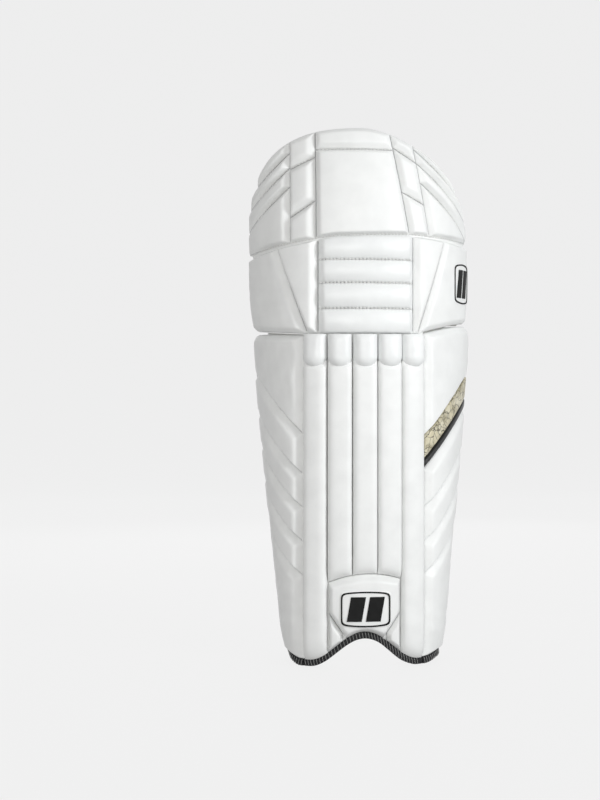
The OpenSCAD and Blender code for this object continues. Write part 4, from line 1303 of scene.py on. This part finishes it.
# ---- Bindings ----
# The tape's closed outline and a thread's way round it, as d and the height above the edge.
TAPE_OUTLINE = np.array([(1.6, 9.2), (2.9, 7.5), (3.0, 4.5), (2.6, 1.6), (1.2, 0.25), (-5, 0.05),
                         (-11.5, 0.25), (-13.2, 1.8), (-13.6, 5), (-13.4, 8), (-12.2, 9.2), (-5, 9.3)])
WHIP_PATH = np.array([(3.1, 8.9), (3.7, 6), (3.7, 3), (2.6, 0.3), (-4, -0.1), (-11, 0.0), (-14.0, 2.4),
                      (-14.3, 5.5), (-13.9, 8.6)])
WHIP_PITCH, WHIP_LEAD = 3.9, 5.2


def whip(shape, place, first, last):
    """Threads that go over the edge of a binding: up the outside, slanting, and down the inside."""
    slide = np.linspace(0, 1, len(WHIP_PATH))
    for start in np.arange(first, last, WHIP_PITCH):
        path = place(start + WHIP_LEAD * slide, np.maximum(WHIP_PATH[:, 1], 0.45), WHIP_PATH[:, 0])
        shape.tube(path, 0.3 * MM, 5, (0.3, 0.2, 1))


def sweep(shape, place, along):
    """The binding tape, swept along an edge."""
    d, h = TAPE_OUTLINE.T
    points = np.stack([place(a + 0 * d, h, d) for a in along])
    A, S = np.meshgrid(along, run_along(TAPE_OUTLINE), indexing="ij")
    shape.add(points, ring_faces(len(along), len(d)), 0, np.stack([A, S, 0 * A], -1) * MM)


def bindings():
    def arch_place(u, h, d):
        return surface(SHIN, u, arch(u) + h, d)
    shape = Shape()
    sweep(shape, arch_place, np.linspace(-79.2, 79.2, 90))
    shape.piece("instep_edge_binding", BRAID, "shin", "whipped_binding", ["instep_binding"])
    shape = Shape()
    whip(shape, arch_place, -78, 74)
    shape.piece("instep_whip_stitches", WHIP_THREAD, "shin", "whipped_binding")
    for side in NAMES:
        name = NAMES[side]
        body = f"{name}_wing"
        far = float(wing_end(FOOT_H / 2, side))
        corner = float(foot_rise(side * 150))

        def foot_place(u, h, d):
            lift = h - FOOT_H / 2 + foot_rise(side * u)
            return surface(SHIN, side * u, FOOT_H / 2 + 0 * h, d) + np.stack([0 * h, 0 * h, lift * MM], -1)

        def rear_place(z, h, d):
            return surface(SHIN, side * (wing_end(z, side) + 0.6 - h), z, d)
        shape = Shape()
        sweep(shape, foot_place, np.linspace(WING_START - 0.8, far - 1, 60))
        sweep(shape, rear_place, np.linspace(1 + corner, BIND_TOP, 50))
        shape.piece(f"{name}_edge_binding", BRAID, body, "whipped_binding", [f"wing_{name}_binding"])
        shape = Shape()
        whip(shape, foot_place, WING_START, far - 6)
        whip(shape, rear_place, 6 + corner, BIND_TOP - 5)
        shape.piece(f"{name}_whip_stitches", WHIP_THREAD, body, "whipped_binding")


# ---- Straps ----
STRAP_W, KNEE_STRAP_W, WEBBING = 50.0, 34.0, 2.4
PATCH_T, STRAP_GAP, BOW, ROOT_IN, TAB_LEN = 1.4, 0.7, 5.0, 10.0, 24.0
ANKLE_TILT = math.atan((float(wing_depth(176)) - float(wing_depth(126))) / STRAP_W)
STRAPS = {
    "knee": dict(part=UPPER, y=KNEE_DEPTH - KNEE_FORWARD + 3.4, z=463.0, tilt=0.0, w=KNEE_STRAP_W),
    "calf": dict(part=SHIN, y=152.8, z=312.0, tilt=0.0, w=STRAP_W),
    "ankle": dict(part=SHIN, y=float(wing_depth(151)) + 0.8, z=151.0, tilt=ANKLE_TILT, w=STRAP_W),
}
STRAP_IN = PATCH_T + STRAP_GAP


def strap_place(strap, x, back, up):
    """x across the pad, back towards the rear from the strap's plane, up along the strap's width."""
    x, back, up = np.broadcast_arrays(np.asarray(x, float), np.asarray(back, float), np.asarray(up, float))
    c, s = math.cos(strap["tilt"]), math.sin(strap["tilt"])
    return np.stack([x, strap["y"] + back * c + up * s, strap["z"] - back * s + up * c], -1) * MM + SHIFT


def strap_ends(strap):
    root = float(half_width(strap["part"], RIGHT, strap["z"])) - ROOT_IN
    tip = -float(half_width(strap["part"], LEFT, strap["z"])) + 24
    return root, tip


def webbing(name, strap):
    root, tip = strap_ends(strap)
    half = strap["w"] / 2
    rows = np.concatenate([[-1, -0.985, -0.95], np.linspace(-0.9, 0.9, 19), [0.95, 0.985, 1]])
    s, t = np.meshgrid(np.linspace(0, 1, 90), rows)
    x = root + (tip + TAB_LEN + 1 - root) * s
    up = t * half
    bow = BOW * 4 * s * (1 - s)
    middle = STRAP_IN + bow + 0.18 * ripple(x, up, 160, long=70, short=25) + WEBBING / 2
    swell = WEBBING / 2 * np.clip(1 - np.abs(t) ** 14, 0, 1)
    shape = Shape()
    shape.shell(strap_place(strap, x, middle + swell, up), strap_place(strap, x, middle - swell, up),
                np.stack([x * MM, (t + 1) / 2, 0 * x], -1))
    look = NARROW_STRIPES if name == "knee" else STRIPES
    shape.piece(f"{name}_strap_webbing", look, f"{name}_strap_body", "striped_webbing", [f"{name}_strap"])


def tab(name, strap):
    """The hook tab, a stiff tongue with a rounded corner and a slanted side, sewn over the webbing's end."""
    root, tip = strap_ends(strap)
    sewn = tip + TAB_LEN
    half = strap["w"] / 2
    share = np.linspace(-1, 1, 25)
    corner = 0.3 * strap["w"]
    low_cut = 0.45 * TAB_LEN * np.clip((0.55 - share) / 1.55, 0, 1)
    high = np.maximum(0, share * half - (half - corner))
    round_cut = corner - np.sqrt(np.maximum(0, corner ** 2 - high ** 2))
    start = (tip + np.maximum(low_cut, round_cut))[:, None]
    s = crowded(TAB_LEN, 2.2, 0.4)[None, :]
    x = start + (sewn + 3 - start) * s
    up = share[:, None] * half + 0 * x
    lift = 0.4 * (1 - s) ** 2
    fall = np.exp(-np.minimum(s * TAB_LEN, 5) / 0.8) * 0.5
    bow = BOW * 4 * np.clip((root - x) / (root - sewn), 0, 1) * np.clip((x - sewn) / (root - tip), 0, 1)
    back = STRAP_IN + bow
    shape = Shape()
    front = back + WEBBING + 1.1 - fall + lift
    shape.shell(strap_place(strap, x, front, up), strap_place(strap, x, back - 0.1, up),
                np.stack([x, up, 0 * x], -1) * MM)
    shape.piece(f"{name}_strap_tongue", HOOK, f"{name}_strap_body", "hook_tape", [f"{name}_strap_tab"])
    shape = Shape()
    up = np.linspace(1.5 - half, half - 1.5, 30)
    for x in (sewn + 1.2, sewn - 2.2):
        path = strap_place(strap, x + 0 * up, STRAP_IN + WEBBING + 1.25, up)
        shape.stitches(path, np.broadcast_to([0.0, 1, 0], path.shape), 2.2 * MM, 3.2 * MM, 0.38 * MM)
    shape.piece(f"{name}_strap_stitches", DARK_THREAD, f"{name}_strap_body", "striped_webbing")


def edge_patch(shape, strap, side, reach, wrap, trim=0.0):
    """Tape that starts on a wing's rear edge and reaches in behind it."""
    part, half = strap["part"], strap["w"] / 2
    columns = 60
    rows = np.linspace(trim - half, half, 19)
    lines = []
    for up in rows:
        z = strap["z"] + up * math.cos(strap["tilt"])
        end = float(wing_end(z, side)) if part == SHIN else KNEE_END[side]
        outside = surface(part, side * (end + wrap), z, np.array([COVER - 2.4, COVER - 4.0]))
        edge = abs(float(surface(part, side * end, z, COVER - 4)[0] - SHIFT[0])) / MM
        turned = strap_place(strap, [side * edge], PATCH_T / 2 - 0.4, up)
        behind = strap_place(strap, side * np.linspace(edge - 3, edge - reach, 12), PATCH_T / 2, up)
        path = np.concatenate([outside, turned, behind])
        run = run_along(path)
        at = np.linspace(0, run[-1], columns)
        smooth = np.stack([np.interp(at, run, path[:, k]) for k in range(3)], -1)
        for _ in range(6):
            smooth[1:-1] = (smooth[:-2] + 2 * smooth[1:-1] + smooth[2:]) / 4
        lines.append(smooth)
    grid = np.stack(lines)
    normal = np.cross(np.gradient(grid, axis=1), np.gradient(grid, axis=0))
    normal /= np.linalg.norm(normal, axis=-1)[..., None] + 1e-15
    offset = normal * PATCH_T / 2 * MM
    s, t = np.meshgrid(np.arange(columns) * 1.5, rows)
    shape.shell(grid + offset, grid - offset, np.stack([s, t, 0 * s], -1) * MM)


def straps():
    for name, strap in STRAPS.items():
        webbing(name, strap)
        tab(name, strap)
    root = ROOT_IN + COVER
    loops = [(strap, LEFT, 46, 1.6) for strap in ("calf", "ankle")]
    roots = [(strap, RIGHT, root, 1.6) for strap in ("calf", "ankle")]
    at_knee = [("knee", LEFT, 36, 0.8), ("knee", RIGHT, root, 0.8, 5)]
    rows = (("loop_patch_tapes", "left_wing", "loop_patches", loops),
            ("strap_anchor_tapes", "right_wing", "strap_anchors", roots),
            ("knee_strap_tapes", "knee", "knee_strap_patches", at_knee))
    for name, body, node, patches in rows:
        shape = Shape()
        for strap, *size in patches:
            edge_patch(shape, STRAPS[strap], *size)
        shape.piece(name, LOOP, body, "loop_tape", [node])

    def calf_place(x, y, d):
        return strap_place(STRAPS["calf"], 8 - x, STRAP_IN + WEBBING + BOW + 0.4 + d, y)
    badge(("calf_badge_pad", "calf_badge_print"), "calf_strap_body", "calf_strap_badge", calf_place,
          (37, 23, 0.8), (-0.6, 5.2), (4.4, 5.7), FIRM, 4)


# ---- Gussets: soft leather across each seam that bends ----
INNER_GUSSET = (-12.9, -11.9)


def gusset(name, place, depths, look, start, end):
    """place(d) gives the seam's grid at a distance out of the surface."""
    shape = Shape()
    shape.shell(place(depths[0]), place(depths[1]))
    piece = shape.make(name, look)
    tuple(start)
    tuple(end)
    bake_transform(piece)


def seam_plane(points, half=1.6):
    """Two places, one on each side of the plane that fits best through a seam's points."""
    middle = points.mean(axis=0)
    flat = np.column_stack([points[:, :2], np.ones(len(points))])
    slope = np.linalg.lstsq(flat, points[:, 2], rcond=None)[0]
    normal = np.array([-slope[0], -slope[1], 1.0])
    normal *= half * MM / np.linalg.norm(normal)
    return middle - normal, middle + normal


def gussets():
    s, z = np.meshgrid(np.linspace(0, 1, 11), np.linspace(FOOT_H + 1, KNEE_Z - 8, 80))
    dip = 1.3 * np.sin(math.pi * s)
    for side, name in NAMES.items():
        def wing_place(d, side=side):
            return surface(SHIN, side * (HINGE_U - 3 + 6.5 * s), z, d + dip)
        start, end = (surface(SHIN, side * (HINGE_U + by), 200, 0) for by in (-1, 1.6))
        gusset(f"{name}_outer_gusset", wing_place, (0.5, -0.5), WHITE, start, end)
        gusset(f"{name}_inner_gusset", wing_place, INNER_GUSSET, MESH, start, end)
    share, u = np.meshgrid(np.linspace(0, 1, 11), np.linspace(-80.2, 80.2, 64), indexing="ij")
    knee_z = KNEE_Z - 8.0 + 11.5 * share
    bend = (share ** 2 * (3 - 2 * share))[..., None]

    def knee_place(d):
        return surface(SHIN, u, knee_z, d) * (1 - bend) + surface(UPPER, u, knee_z, d) * bend
    for face, depths, look in (("outer", (1.6, 0.4), WHITE), ("inner", INNER_GUSSET, CUSHION)):
        gusset(f"knee_{face}_gusset", knee_place, depths, look, (0, 0, (KNEE_Z - 5.5) * MM),
               (0, 0, (KNEE_Z + 0.5) * MM))
    for part, first, last in (("left", -182, -40), ("middle", -40, 60), ("right", 60, 184)):
        share, across = np.meshgrid(np.linspace(0, 1, 11), np.linspace(first, last, 45), indexing="ij")
        low, high = knee_top(across) - 2.5, thigh_bottom(across) + 2.5

        def thigh_place(d, across=across, height=low + (high - low) * share):
            return surface(UPPER, across, height, d)
        start, end = seam_plane(thigh_place(0)[5])
        for face, depths, look in (("outer", (2.0, 0.4), WHITE), ("inner", (-11.9, -10.9), GLOSS)):
            gusset(f"thigh_{part}_{face}_gusset", thigh_place, depths, look, start, end)


# ---- Stage, light and camera ----
def stage():
    """A pale round floor that curves up into a wall on every side."""
    floor_r, fillet, count = 3.2, 1.6, 96
    profile = [(r, 0.0) for r in (0.0, 0.5, 1.2, 2.2, floor_r)]
    profile += [(floor_r + fillet * math.sin(a), fillet * (1 - math.cos(a)))
                for a in np.linspace(0.15, math.pi / 2, 12)]
    profile += [(floor_r + fillet, 3.2), (floor_r + fillet, 5.0)]
    turns = [2 * math.pi * k / count for k in range(count)]
    points = [(r * math.cos(a), r * math.sin(a), z) for r, z in profile for a in turns]
    faces = ring_faces(len(profile), count, closed=False)
    mesh = bpy.data.meshes.new("stage_floor")
    mesh.from_pydata(points, [], faces)
    mesh.polygons.foreach_set("use_smooth", np.ones(len(faces), bool))
    look = Look("stage_paper", Roughness=0.9, Specular_IOR_Level=0.1, Emission_Color=(1, 1, 1, 1),
                Emission_Strength=0.842)
    look.colour(look.ramp(look.noise(3, 2), [(0.2, 0.015), (0.8, 0.017)]))
    mesh.materials.append(look.material)
    floor = bpy.data.objects.new("stage_floor", mesh)
    bpy.context.scene.collection.objects.link(floor)
    floor.visible_diffuse = False


def area_light(name, place, aim, size, power, tint=(1, 1, 1), shiny=True):
    data = bpy.data.lights.new(name, "AREA")
    data.shape, data.size, data.energy, data.color = "DISK", size, power, tint
    lamp = bpy.data.objects.new(name, data)
    bpy.context.scene.collection.objects.link(lamp)
    lamp.visible_glossy = shiny
    look_at(lamp, place, aim)


def look_at(thing, place, aim):
    thing.location = place
    thing.rotation_mode = "QUATERNION"
    thing.rotation_quaternion = Vector(np.subtract(aim, place)).to_track_quat("-Z", "Y")


def lights():
    middle = (0, 0, 0.36)
    area_light("key", (1.30, -1.35, 0.9), middle, 0.6, 19.3, (0.96, 0.985, 1.0))
    area_light("front", (-0.5, -2.2, 0.7), middle, 0.9, 15, (1.0, 0.995, 0.98))
    area_light("top", (0, 0.2, 2.4), middle, 1.2, 4)
    area_light("back_key", (-0.4, 2.0, 0.9), middle, 0.9, 17, shiny=False)
    area_light("back_fill", (0.5, 2.2, 0.7), middle, 1.2, 12, shiny=False)
    world = bpy.data.worlds.new("studio")
    world.use_nodes = True
    background = world.node_tree.nodes["Background"]
    background.inputs["Color"].default_value = (1, 1, 1, 1)
    background.inputs["Strength"].default_value = 0.375
    bpy.context.scene.world = world
    bpy.context.scene.view_settings.view_transform = "Standard"


VIEW_ANGLE, VIEW_DISTANCE = 6, 2.0
TARGET = np.array([-0.003, -0.03535, 0.349])


def camera():
    """The photograph's viewing angle: a little round to the left of the front, level."""
    data = bpy.data.cameras.new("camera")
    data.lens, data.sensor_width = 68.3, 36
    data.shift_x, data.shift_y = -0.0769, -0.00375
    made = bpy.data.objects.new("camera", data)
    bpy.context.scene.collection.objects.link(made)
    angle = math.radians(VIEW_ANGLE)
    away = np.array([math.sin(angle), math.cos(angle), 0])
    look_at(made, tuple(TARGET - VIEW_DISTANCE * away), tuple(TARGET))
    bpy.context.scene.camera = made


camera()
stage()
lights()
thigh_case()
knee_case()
shin_case()
for side in NAMES:
    wing_case(side)
for side in NAMES:
    wing_flap(side)
thigh_blocks()
thigh_ribs()
thigh_edge()
knee_rolls()
knee_sides()
stitching()
channels()
caps()
instep()
for side in NAMES:
    wing_covers(side)
flashes()
inner_pads()
center_strip()
for side in NAMES:
    edge_roll(side)
gold_panel()
badges()
bindings()
straps()
gussets()
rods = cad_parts["cane_rods"]
rods.data.materials.clear()
rods.data.materials.append(CANE)
